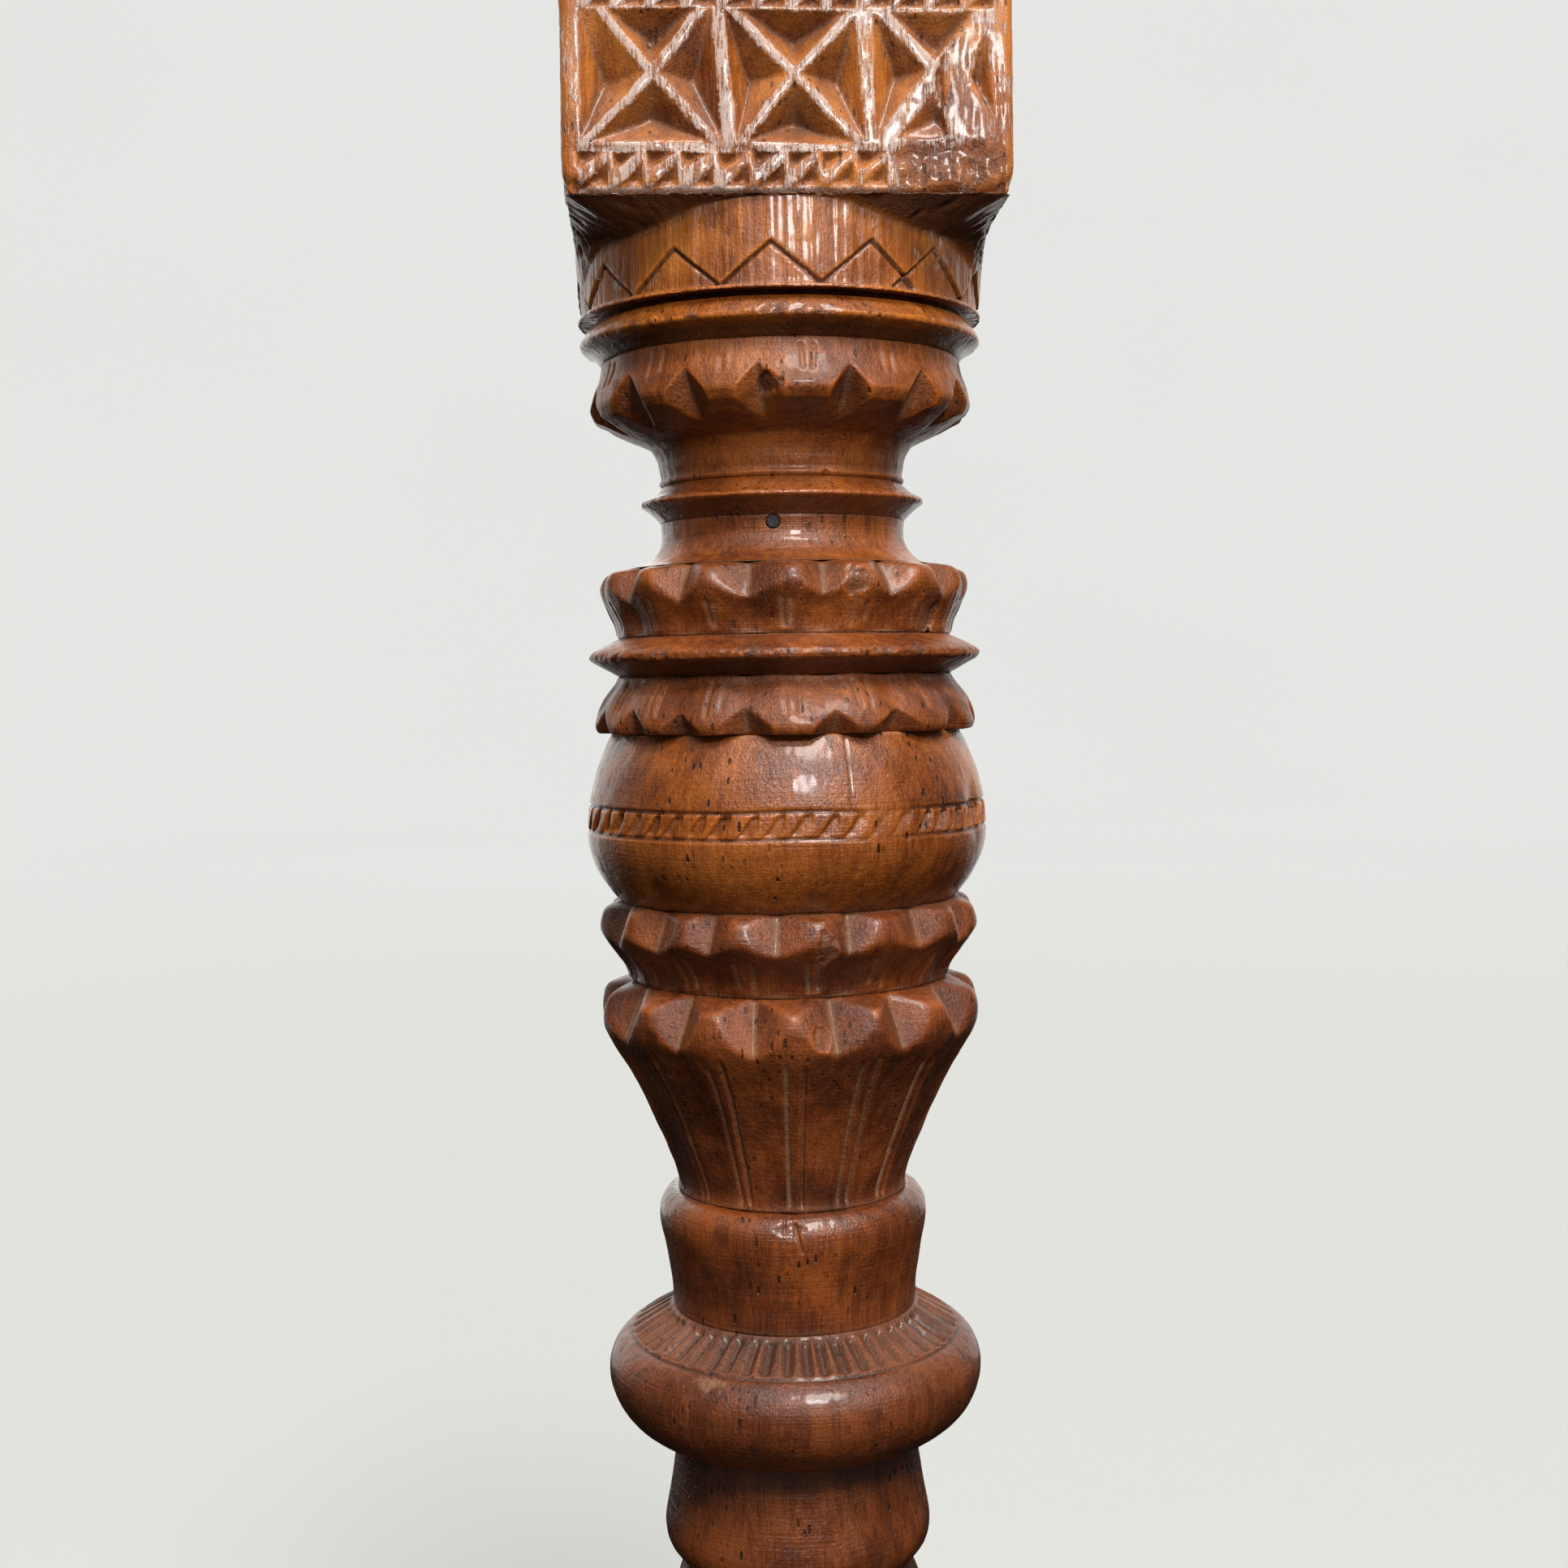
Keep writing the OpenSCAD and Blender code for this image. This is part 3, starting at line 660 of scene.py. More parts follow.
def flange(name, material):
    """A thin flange with a nicked edge."""
    h = height_of(name)
    r, hip = 57.8, 49.1
    s = Turned(name, [[hip, 0], [r - 4.4, h * 0.22], [r - 1.4, h * 0.36], [r - 0.3, h * 0.44],
                      [r - 0.3, h * 0.58], [r - 1.5, h * 0.68], [hip + 2.8, h * 0.88], [hip, h]],
               soft=0.7, step=0.42)
    s.push(s.field(2.5, 2.5, 3, 9) * 0.4 * np.exp(-((s.z - h * 0.54) / 1.2) ** 2))
    for angle, depth in ((-43, 1.6), (-39, 1.1), (-12, 0.5), (26, 0.6), (38, 0.8)):
        s.dent(front(angle), h * 0.56, 1.4, 1.8, depth, key="scar")
    # painted shade on the flange's lower slope
    s.marks["dark"] = smoothstep(h * 0.45, h * 0.2, s.z) * 0.3
    s.weather()
    s.seam()
    s.build(material)


def skirt(name, material):
    """A skirt of petals that hangs over the belly."""
    h = height_of(name)
    r, hip = 56.3, 49.1
    s = Turned(name, [[hip, 0, 1], [r - 0.7, 0, 1], [r, h * 0.09], [r, h * 0.18],
                      [r - 1.2, h * 0.38], [r - 3.2, h * 0.61], [hip + 0.9, h * 0.86], [hip, h]],
               soft=0.35, step=0.5)
    a = spread((-54.6, -35, -14.2, 11, 30.9, 57.2), 16, s.rng, 1.5)
    notches(s, a, (r - 5.6, -0.4), (r - 1.8, h * 0.36), 62, worn=0.35, hollow=0.2)
    vein_pairs(s, between(a), h * 0.25, h * 0.98, 3.4, width=0.6, depth=0.5, dust=1.1, lean=0.08)
    # shallow saddles between the vein pairs
    s.push(0.55 * saddle(16 * (s.t - a[2]))
           * smoothstep(h * 0.05, h * 0.45, s.z) * smoothstep(h * 1.15, h * 0.85, s.z))
    s.push(s.field(9, 9, 2, 8) * 0.2)
    s.weather()
    s.seam(low=False)
    s.build(material)


def belly(name, material):
    """A round belly with a band of slanted chips between two lines."""
    h = height_of(name)
    r, wide = 59.1, h * 0.41
    below = [[r - 9.3 * t * t, wide * (1 - t)] for t in np.linspace(1, 0, 8)]
    above = [[r - 7.9 * t * t, wide + (h - wide) * t] for t in np.linspace(0, 1, 8)[1:]]
    s = Turned(name, below + above, soft=0.4, step=0.5)
    mid, width, count = h * 0.503, 7.4, 50
    # the two incised lines wander a little, and fade right of the centre; they are painted dark as shade in
    # the cut
    worn = np.exp(-((wrap(s.t - front(24)) * s.r) / 11) ** 2)
    wander = noise3(s.t * 3, 0 * s.t, 0 * s.t, 5) * 0.35
    for side in (-1, 1):
        far = s.z - mid - side * width / 2 - wander
        line = np.exp(-(far / 0.38) ** 2) * (1 - 0.85 * worn)
        s.push(line * 0.8)
        s.stamp("dark", line * 0.8)
    # slanted chips between the lines
    turns = s.t * count / (2 * math.pi)
    index = np.round(turns).astype(np.int64)
    j = [lattice(index, 0 * index, 0 * index + k, 3) for k in range(3)]
    x = (turns - index) * 2 * math.pi / count * s.r + (j[0] - 0.5) * 1.8
    y = s.z - mid - wander
    slant = x - 0.75 * y
    depth = np.minimum((slant + 1.4) * 1.1, (3.9 - slant) * 0.42)
    depth = np.minimum(depth, (width / 2 - 0.2 - np.abs(y)) * 1.2)
    depth = np.clip(depth, 0, 1.5 + 0.5 * j[1]) * (0.45 + 0.9 * j[2])
    s.push(depth * (1 - 0.85 * worn))
    s.marks["dust"] = np.clip(depth - 0.6, 0, 1) * 0.3
    # a hair crack from the skirt down to the band, painted dark as shade in it, and dust under the petals
    s.groove(front(14.5), h * 0.56, h * 1.02, 0.3, 0.35, lean=0.03, dust=0.6, key="dark")
    s.stamp("dust", smoothstep(h - 1.4, h - 0.2, s.z) * (s.r > 47))
    dents(s, ((64, 0.55, 4, 7, 1.3), (-46, 0.14, 3, 5, 0.5), (35, 0.7, 6, 4, 0.25),
              (140, 0.6, 6, 9, 0.5), (215, 0.3, 8, 5, 0.5)))
    s.stain(front(47), h * 0.42, 2.4, 1.6, 0.8)
    s.weather(0.22, 0.045)
    s.seam(high=False)
    s.build(material)


def vase(name, material, flip=False):
    """A lotus vase: petals with a pair of veins each, which narrow to the foot."""
    h = height_of(name)
    rim, foot, neck = 56.7, 34.3, 47.0
    s = Turned(name, [[foot, 0], [foot - 0.1, h * 0.06], [foot + 3, h * 0.2], [foot + 8, h * 0.39],
                      [foot + 13.8, h * 0.58], [rim - 1.8, h * 0.76], [rim - 0.1, h * 0.84],
                      [rim, h * 0.9], [rim - 1.4, h * 0.955], [neck + 0.6, h, 1], [neck - 5, h]],
               soft=0.5, step=0.62)
    a = spread((-38.4, -14.1, 10.3, 32.2, 57.8), 15, s.rng, 1.5)
    mids = between(a)
    # each petal is a soft rib that narrows to the foot
    nearest = np.min([np.abs(wrap(s.t - m)) for m in a], axis=0) / (math.pi / 15)
    rib = smoothstep(h * 0.06, h * 0.35, s.z) * (1 - smoothstep(h * 0.7, h * 0.85, s.z))
    s.push((1.0 * (0.5 + 0.5 * np.cos(math.pi * nearest)) - 0.3) * rib)
    notches(s, a, (rim - 3.7, h * 0.8), (neck, h), 60, worn=0.7, hollow=0.35)
    for m in mids:
        j = s.rng.normal(0, 1, 6)
        for side in (-1, 1):
            # the pair closes in as the post narrows
            d = wrap(s.t - m)
            gap = 1.5 + 1.2 * s.z / h + 0.25 * j[0]
            v = s.r * d - side * gap
            top = h * (0.74 + 0.02 * j[1 + side])
            line = np.exp(-(v / 0.55) ** 2) * smoothstep(0.5, 3, s.z) * (1 - smoothstep(top - 3, top, s.z))
            line = line * (np.abs(d) < 0.5) * (s.free > 0.5)
            s.push(0.8 * line * (1 + 0.25 * side * j[4]))
            s.stamp("dust", line * (0.8 + 0.6 * side * j[5]))
    s.break_off(front(6.5), h * 0.85, 3.0, 3.4, 0.8, seed=4)
    s.push(s.field(9, 12, 2, 8) * 0.22)
    s.stamp("dust", 0.5 * smoothstep(1.6, 0.2, s.z) * (s.free > 0.5))
    s.weather(0.15, 0.06)
    s.seam(high=False)
    s.build(material, flip=flip)


def collar(name, material, flip=False):
    """A plain bell-shaped collar."""
    h = height_of(name)
    r, vase_foot = 40.0, 34.3
    s = Turned(name, [[r - 3.4, 0], [r - 3.3, h * 0.18], [r - 2.5, h * 0.35], [r - 1.5, h * 0.52],
                      [r - 0.3, h * 0.69], [r, h * 0.8], [r - 0.7, h * 0.9], [r - 2.5, h * 0.97],
                      [vase_foot + 1.2, h * 0.995], [vase_foot + 0.3, h]], soft=0.5, step=0.5)
    s.groove(front(-1), h * 0.68, h * 0.96, 0.4, 0.8, lean=-0.25, dust=0.5)
    # a split below the top edge, painted dark as shade in it
    s.groove(front(-7), h * 0.86, h * 1.0, 0.35, 0.4, dust=0.5, key="dark")
    s.dent(front(-4), h * 0.9, 3.0, 3.0, 0.7)
    s.break_off(front(-5), h * 0.9, 5.0, 1.6, 0.25, seed=8)
    dents(s, ((14, 0.93, 7, 2, 0.35), (-30, 0.95, 6, 2, 0.4), (40, 0.5, 5, 5, 0.3)))
    s.weather(0.22, 0.06)
    s.stamp("dust", 0.45 * smoothstep(2.0, 0.2, s.z) * (s.free > 0.5))
    s.seam(high=False)
    s.build(material, flip=flip)


def torus(name, material):
    """A torus with a fluted seat on top."""
    h = height_of(name)
    r, half, seat = 55.8, h * 0.5, 36.6
    line_r, line_z = r - 6.4, h * 0.8
    body = arc((r - 18.3, half), 18.3, half, range(-90, 1, 8))
    body += arc((r - 14, half), 14, h * 0.345, range(6, 57, 8))
    s = Turned(name, body + [[line_r, line_z - 0.2, 1],
                             [(line_r + seat) / 2, (line_z + h) / 2 - 0.2], [seat + 0.4, h - 0.4], [seat, h]],
               soft=0.3, step=0.55)
    on_seat = smoothstep(line_r + 0.3, line_r - 0.5, s.r) * (s.z > line_z - 2)
    # the cut line round the seat, painted dark as shade in it
    groove_line = np.exp(-((s.r - line_r - 0.2) / 0.45) ** 2) * (s.z > h * 0.6)
    s.push(groove_line * 0.6)
    s.stamp("dark", groove_line * 0.6)
    s.stain(front(-31), h * 0.74, 4.5, 1.8, 1.0)
    for at, high in ((-22, 0.62), (-9, 0.5), (4, 0.44), (17, 0.4)):
        s.groove(front(at), h * (high - 0.05), h * high, 0.3, 0.2, lean=3.0, dust=0.7)
    # radial flutes, each a little different
    count = 52
    turns = s.t * count / (2 * math.pi)
    index = np.round(turns).astype(np.int64)
    j = [lattice(index, 0 * index, 0 * index + k, 9) - 0.5 for k in range(3)]
    v = ((turns - index) * 2 * math.pi / count + j[0] * 0.03) * s.r
    ramp = smoothstep(line_r - 0.3, line_r - 2.2 + j[1], s.r) * smoothstep(seat + 0.2, seat + 2.2, s.r)
    flute = np.clip(1.7 + 0.8 * j[2] - np.abs(v - 0.25) * 0.85, 0, 1.5) * ramp * on_seat
    s.push(flute)
    s.marks["scar"] = on_seat * 0.35
    dusty = 0.25 * on_seat * smoothstep(0.1, 0.5, s.field(6, 6, 2, 71))
    s.marks["dust"] = s.marks["dust"] * (1 - on_seat) + on_seat * 0.1 + dusty
    # painted shade: the deepest parts of the flutes are darkened
    s.stamp("dark", np.clip(flute - 0.5, 0, 0.6) * 0.55)
    dents(s, ((-28, 0.47, 8, 2.0, 0.25), (20, 0.3, 9, 3, 0.3), (48, 0.62, 6, 3, 0.4), (150, 0.5, 8, 6, 0.5)))
    s.weather(0.22, 0.045)
    s.build(material)


def drum(name, material, flip=False, apexes=(-59.2, -32.2, -5.2, 22.3, 43.8)):
    """The drum grows out at its corners to carry the square block."""
    h = height_of(name)
    r, tall = 58.7, 11.0
    s = Turned(name, [[r - 5, 0, 1], [r - 0.5, 0], [r, 0.7], [r, h * 0.5, 1], [r, h - 0.01, 1], [r - 6, h]],
               soft=0.12, step=0.45)
    outside = (s.r > r - 0.6) & (s.free > 0.5)
    # chisel facets: flats of uneven width round the drum
    edges = np.cumsum(s.rng.uniform(0.11, 0.21, 60))
    edges = edges[edges < 2 * math.pi - 0.08]
    angle = s.t + math.pi
    place = np.searchsorted(edges, angle)
    lo = np.concatenate([[0], edges])[place]
    hi = np.concatenate([edges, [2 * math.pi]])[place]
    chord = (angle - lo) * (hi - angle) / 2 * r
    lean = np.array(s.rng.uniform(-1, 1, len(edges) + 1))[place]
    facet = chord * 0.8 + lean * (angle - (lo + hi) / 2) * 2.4 + 0.15
    s.push(np.where(outside, facet * smoothstep(-0.5, 2.5, s.z), 0))
    ribs = s.field(0.9, 60, 2, 21) * 0.13
    s.push(np.where(outside, ribs, 0))
    # the zigzag: recessed triangles under an incised line, painted dark as the shadow of its step
    for k, a in enumerate(spread(apexes, 14, s.rng, 1.5)):
        top = 1.2 + tall + s.rng.normal(0, 0.7) + (1.5 if k == 2 else 0)
        d = wrap(s.t - a)
        v = s.r * d
        wide = 13.6
        under = (top - s.z) * (wide / tall) - np.abs(v)
        side = np.clip(under * 0.7, -3, 20)
        inside = smoothstep(-0.1, 0.5, side) * (s.z > 0.9)
        line = np.exp(-((side - 0.35) / 0.42) ** 2) * (s.z < top + 0.6) * (s.z > 1.0)
        near = (np.abs(d) < 0.28) & outside
        s.push(np.where(near, inside * 0.7 + line * 0.95, 0))
        s.marks["dark"] = np.where(near, np.maximum(s.marks["dark"], line * 0.85), s.marks["dark"])
    # the corners are scooped out from the drum to the corners of the block
    half_w = BLOCK_W / 2 - 0.6
    square = half_w / np.maximum(np.abs(np.sin(s.t)), np.abs(np.cos(s.t)))
    square = np.minimum(square, half_w * math.sqrt(2) - 1.6)
    aside = np.degrees(np.abs(wrap(2 * (s.t + EYE_TURN)) / 2))
    drop = 6.5 * smoothstep(10, 42, aside) + 15 * smoothstep(52, 88, aside) + 0.3
    rise = np.clip((s.z - h + drop) / drop, 0, 1)
    rough = np.abs(s.field(5, 5, 3, 30)) * 1.2 + s.field(1.5, 1.5, 2, 31) * 0.3
    scoop = rise ** 1.05
    grow = np.clip(square - s.r, 0, None) * scoop
    grown = smoothstep(0.3, 3.0, grow) * (s.free > 0.5)
    on_side = outside | (s.z > h - 0.3) & (s.r > r - 9)
    share = np.where(s.z > h - 0.3, smoothstep(r - 9, r - 0.2, s.r), 1.0)
    s.r = np.where(on_side, s.r + (grow - grown * rough * (rise < 0.97)) * share, s.r)
    # small holes, painted dark as shade in them
    for hole_angle, hole_z in ((33.5, h - 4.2), (38, h - 1.8), (47, h - 6)):
        s.dent(front(hole_angle), hole_z, 0.8, 0.8, 1.6, key="dark")
    s.stamp("scar", grown)
    washed = smoothstep(-0.1, 0.5, s.field(5, 60, 2, 44)) * smoothstep(2, 14, s.z)
    s.marks["lime"] = np.where(outside, (0.2 + 0.3 * washed) * (1 - grown), 0)
    # painted shade on the scooped undersides of the corners
    s.stamp("dark", grown * 0.3)
    s.weather(0.1, 0.08)
    s.build(material, flip=flip)


# ---------------------------------------------------------------- carved blocks

def chip(corners, tip, depth):
    """A pyramid cut into a face: its outline, where its tip lies, and how deep."""
    return np.array(corners, float), np.array(tip, float), depth


def clipped(polygon, normal, offset):
    """The part of a convex polygon where normal . p is above the offset."""
    kept = []
    for a, b in zip(polygon, polygon[1:] + polygon[:1]):
        fa, fb = (p[0] * normal[0] + p[1] * normal[1] - offset for p in (a, b))
        if fa >= 0:
            kept.append(a)
        if fa * fb < 0:
            t = fa / (fa - fb)
            kept.append([a[0] + (b[0] - a[0]) * t, a[1] + (b[1] - a[1]) * t])
    return kept


def star_chips(cell, centre, arms, tips, half_ridge, depths, sides="tlbr"):
    """Four chips round an X of ridges. Arms run anticlockwise from the upper right, and tips from the top."""
    made = []
    for k, side in enumerate("tlbr"):
        if side not in sides:
            continue
        shape = [list(p) for p in cell]
        for arm, sign in ((arms[k], 1), (arms[(k + 1) % 4], -1)):
            dx, dz = arm[0] - centre[0], arm[1] - centre[1]
            size = math.hypot(dx, dz)
            normal = (-dz / size * sign, dx / size * sign)
            shape = clipped(shape, normal, normal[0] * centre[0] + normal[1] * centre[1] + half_ridge)
        made.append(chip(shape, tips[k], depths[k]))
    return made


def even_star(x0, x1, z0, z1, rng):
    """A star that fills a cell, each a little different."""
    cx, cz = (x0 + x1) / 2 + rng.uniform(-0.6, 0.6), (z0 + z1) / 2 + rng.uniform(-0.4, 0.6)
    w, h = x1 - x0, z1 - z0
    j = rng.uniform(-0.7, 0.7, 8)
    return star_chips([(x0, z0), (x1, z0), (x1, z1), (x0, z1)], (cx, cz),
                      [(x1 - 1.5, z1), (x0 + 1.5, z1), (x0 + 1.5, z0), (x1 - 1.5, z0)],
                      [(cx + j[0], cz + h * 0.24 + j[1]), (cx - w * 0.32 + j[2], cz - 0.6 + j[3]),
                       (cx + j[4], cz - h * 0.31 + j[5]), (cx + w * 0.32 + j[6], cz - 0.6 + j[7])],
                      1.0, 5.6 + rng.uniform(-0.4, 0.5, 4))


def tooth_chips(x0, x1, z0, z1, rng):
    """A band of slanted chips cut from above and below, which leaves a row of flat Z shapes."""
    count = round((x1 - x0) / 9.3)
    p, made = (x1 - x0) / count, []
    h = z1 - z0
    for i in range(count):
        a = x0 + i * p
        j = rng.uniform(-0.5, 0.5, 6)
        upper = [[a + 0.12 * p, z0 + h * 0.44 + j[0]], [a + 0.92 * p + j[1], z1], [a + 0.05 * p, z1 + 0.3]]
        lower = [[a + 0.16 * p + j[4], z0 - 0.2], [a + 0.98 * p, z0], [a + 0.95 * p, z0 + h * 0.74 + j[5]]]
        made += [chip(upper, [a + 0.26 * p, z1 - h * 0.2 + j[2] * 0.5], 2.8 + j[3]),
                 chip(lower, [a + 0.78 * p, z0 + h * 0.2], 2.9 - j[3])]
    return made


def plain_face(rng):
    """The chips of a face that has kept all its carving."""
    half = BLOCK_W / 2 - MARGIN
    made = []
    for band in range(3):
        low = GAP + band * BAND_PITCH
        made += tooth_chips(-half, half, low, low + TOOTH_H, rng)
    columns = np.linspace(-half, half, 4) + np.array([0, 1, 1, 0]) * rng.uniform(-1.5, 1.5, 4)
    for row in range(2):
        low = TOOTH_H + 2 * GAP + row * BAND_PITCH
        for k in range(3):
            made += even_star(columns[k] + 1.0, columns[k + 1] - 1.0, low, low + CELL_H, rng)
    return made


def front_face(rng):
    """The front of the capital: its lower row has slanted ridges and a broken third star."""
    half = BLOCK_W / 2 - MARGIN
    made = tooth_chips(-half - 1.5, 26.5, GAP, GAP + TOOTH_H + 0.6, rng)
    for band in (1, 2):
        low = GAP + band * BAND_PITCH
        made += tooth_chips(-half, half, low, low + TOOTH_H, rng)
    low = TOOTH_H + 2 * GAP + BAND_PITCH
    for a, b in ((-half, -18), (-18, 19.5), (19.5, half)):
        made += even_star(a + 1.0, b - 1.0, low, low + CELL_H, rng)
    made += star_chips([(-55.0, 12.8), (-17.4, 12.9), (-19.7, 47.4), (-55.2, 47.8)], (-35.6, 30.9),
                       [(-21.2, 48.6), (-49.6, 48.2), (-53.9, 12.8), (-19.4, 13.6)],
                       [(-35.5, 39.3), (-48.3, 29.3), (-36.2, 19.6), (-24.9, 30.0)],
                       1.0, (5.8, 6.2, 5.6, 5.8))
    made += star_chips([(-13.9, 12.8), (20.6, 12.2), (18.0, 47.2), (-16.9, 47.4)], (1.5, 30.8),
                       [(18.6, 48.0), (-16.0, 48.2), (-12.2, 13.2), (18.9, 13.0)],
                       [(1.4, 39.7), (-10.0, 29.8), (1.5, 18.6), (13.0, 29.4)],
                       0.95, (6.3, 6.0, 6.2, 6.0))
    # the third star is broken at its right
    made += star_chips([(22.8, 12.6), (46.0, 13.2), (54.2, 47.4), (22.0, 46.4)], (38.8, 31.8),
                       [(51.8, 48.0), (24.9, 46.4), (22.8, 11.6), (50.0, 12.0)],
                       [(39.6, 37.6), (28.9, 30.4), (37.4, 20.4), (46, 30)],
                       1.3, (5.2, 5.4, 3.6, 0), sides="tl")
    made += [chip([[39.6, 28.0], [28.2, 13.8], [36.5, 12.8], [43.0, 15.2], [41.0, 20.0]], [38.8, 19.6], 3.2),
             chip([[41.4, 37.0], [38.9, 31.2], [38.9, 27.5], [41.6, 22.0]], [40.1, 30.2], 2.4),
             chip([[48.0, 30.2], [55.2, 17.2], [52.8, 42.6]], [49.9, 30.0], 3.6)]
    return made


def chip_depth(chips, x, z):
    """How deep the chips are cut at each point of a face."""
    depth = np.zeros_like(x)
    for corners, tip, deep in chips:
        lo, hi = corners.min(axis=0) - 0.5, corners.max(axis=0) + 0.5
        near = np.where((x > lo[0]) & (x < hi[0]) & (z > lo[1]) & (z < hi[1]))[0]
        if not len(near):
            continue
        p = np.stack([x[near], z[near]], axis=1)
        low = np.full(len(near), 1e9)
        for k in range(len(corners)):
            a, b = corners[k], corners[(k + 1) % len(corners)]
            e = (b - a) / np.linalg.norm(b - a)
            far = e[0] * (p[:, 1] - a[1]) - e[1] * (p[:, 0] - a[0])
            tip_far = e[0] * (tip[1] - a[1]) - e[1] * (tip[0] - a[0])
            low = np.minimum(low, far / tip_far)
        depth[near] = np.maximum(depth[near], deep * np.clip(low, 0, 1))
    return depth


def face_mesh(chips, pitch, rng):
    """Points and triangles over one unrolled face, with edges along every crease."""
    edge = BLOCK_W / 2 - EDGE_R + EDGE_R * math.pi / 4
    nx, nz = int(round(2 * edge / pitch)), int(round(BLOCK_H / SEAM_PITCH))
    seam = np.linspace(0, BLOCK_H, nz + 1)
    points = [(side * edge, z) for side in (-1, 1) for z in seam]
    along_ends = np.linspace(-edge, edge, int(round(2 * edge / SEAM_PITCH)) + 1)[1:-1]
    points += [(x, z) for x in along_ends for z in (0, BLOCK_H)]
    lines, kept = [], len(points)
    for corners, tip, _ in chips:
        around = [(corners[k], corners[(k + 1) % len(corners)]) for k in range(len(corners))]
        for a, b in around + [(c, tip) for c in corners]:
            n = max(1, int(round(np.linalg.norm(b - a) / pitch)))
            first = len(points)
            points += [tuple(a + (b - a) * t) for t in np.linspace(0, 1, n + 1)]
            lines += [(first + k, first + k + 1) for k in range(n)]
    fixed = np.array(points[kept:])
    gx, gz = np.meshgrid(np.linspace(-edge, edge, nx + 1)[1:-1],
                         np.linspace(0, BLOCK_H, int(round(BLOCK_H / pitch)) + 1)[1:-1], indexing="ij")
    grid = np.stack([gx.ravel(), gz.ravel()], axis=1) + rng.uniform(-0.2, 0.2, (gx.size, 2)) * pitch
    rim = 0.4 * pitch
    grid = grid[(np.abs(grid[:, 0]) < edge - rim) & (grid[:, 1] > rim) & (grid[:, 1] < BLOCK_H - rim)]
    clear = np.ones(len(grid), bool)
    for f in fixed:
        clear &= ((grid - f) ** 2).sum(axis=1) > (0.45 * pitch) ** 2
    points += [tuple(p) for p in grid[clear]]
    made = geometry.delaunay_2d_cdt([Vector(p) for p in points], lines, [], 0, 1e-4)
    return np.array([tuple(v) for v in made[0]]), np.array([tuple(f) for f in made[2]])


def front_damage(depth, x, z, seed):
    """The front's broken lower right corner, a split by its right margin, and a cut line over its teeth."""
    worn = smoothstep(25, 31, x) * (1 - smoothstep(11, 16, z + 0.2 * np.abs(x - 40)))
    rough = 0.5 + 0.5 * fbm(x / 2.5, z / 3, 0 * x, 4, seed + 6)
    depth = depth + worn * (0.3 + 1.1 * rough)
    depth = depth + 0.35 * smoothstep(54.8, 55.6, x) * smoothstep(26, 24, z)
    split = np.exp(-((x - 40.6 - 0.5 * np.sin(z / 5)) / 0.5) ** 2)
    split = split * smoothstep(12, 15, z) * (1 - smoothstep(33, 37, z))
    line = np.exp(-((z - 11.4 - 0.35 * np.sin(x / 6)) / 0.35) ** 2) * (1 - smoothstep(22, 26, x))
    return depth + 1.8 * split + 0.9 * line, 0.4 * worn


def face_relief(chips, x, z, side, seed, damaged):
    """How deep each point of an unrolled face lies, and how raw its wood is there."""
    turn = side * 10

    def grain(across, along, octaves, offset):
        return fbm(x / across + turn, z / along, 0 * x, octaves, seed + offset)

    depth, scar = chip_depth(chips, x, z), np.zeros_like(x)
    flat_share = 1 - smoothstep(0.1, 0.5, depth)
    # saw marks, chisel tears and wear on the flats, then hollow facets
    depth = depth + 0.22 * np.abs(grain(3, 30, 3, 0)) * flat_share
    depth = depth + 0.10 * grain(1.2, 14, 3, 2)
    depth = depth + 0.25 * smoothstep(0.25, 0.7, grain(7, 18, 3, 3)) * flat_share
    depth = depth + 0.12 * grain(5, 5, 2, 4)
    if damaged:
        depth, scar = front_damage(depth, x, z, seed)
    # a line along each margin, which fades here and there
    margin_line = np.exp(-((np.abs(x) - 56.3) / 0.4) ** 2)
    kept = smoothstep(0.3, 0.6, 0.5 + fbm(x / 9, z / 14, 0 * x, 2, seed + 8))
    depth = depth + 0.45 * margin_line * kept
    # the lower and the upper edge are worn round
    low = z + 0.9 * fbm(x / 11 + turn, 0 * x, 0 * x + side, 2, seed + 9)
    low = low - 0.45 * np.clip(np.abs(x) - 51, 0, 9)
    depth = depth + 2.4 * np.clip(1 - low / 2.6, 0, 1) ** 2
    return depth + 1.5 * np.clip(1 - (BLOCK_H - z) / 1.8, 0, 1) ** 2, scar


def bent_face(x, z, depth, side, seed):
    """The points of a face in space, bent back at the block's worn upright edges."""
    turn = side * 10
    straight = BLOCK_W / 2 - EDGE_R
    bend = np.clip((np.abs(x) - straight) / EDGE_R, 0, None)
    r = EDGE_R - depth * 0.5
    px = np.where(bend > 0, np.sign(x) * (straight + r * np.sin(bend)), x)
    py = np.where(bend > 0, -straight - r * np.cos(bend), -straight - EDGE_R + depth)
    # the lines of the carving are not quite straight
    wobble = 0.35 * smoothstep(0, 4, straight - np.abs(x)) * smoothstep(0, 4, z)
    wobble = wobble * smoothstep(0, 4, BLOCK_H - z)
    px = px + wobble * fbm(x / 9 + turn, z / 9, 0 * x, 2, seed + 12)
    pz = z + wobble * fbm(x / 9 + turn, z / 9, 0 * x + 7, 2, seed + 13)
    c, s = math.cos(side * math.pi / 2), math.sin(side * math.pi / 2)
    return np.stack([px * c - py * s, px * s + py * c, pz], axis=1)


# what face_facts tells of each point of a block, by column
LIME, SCAR, ACROSS, UP, OVERHANG, SIDE = range(6)


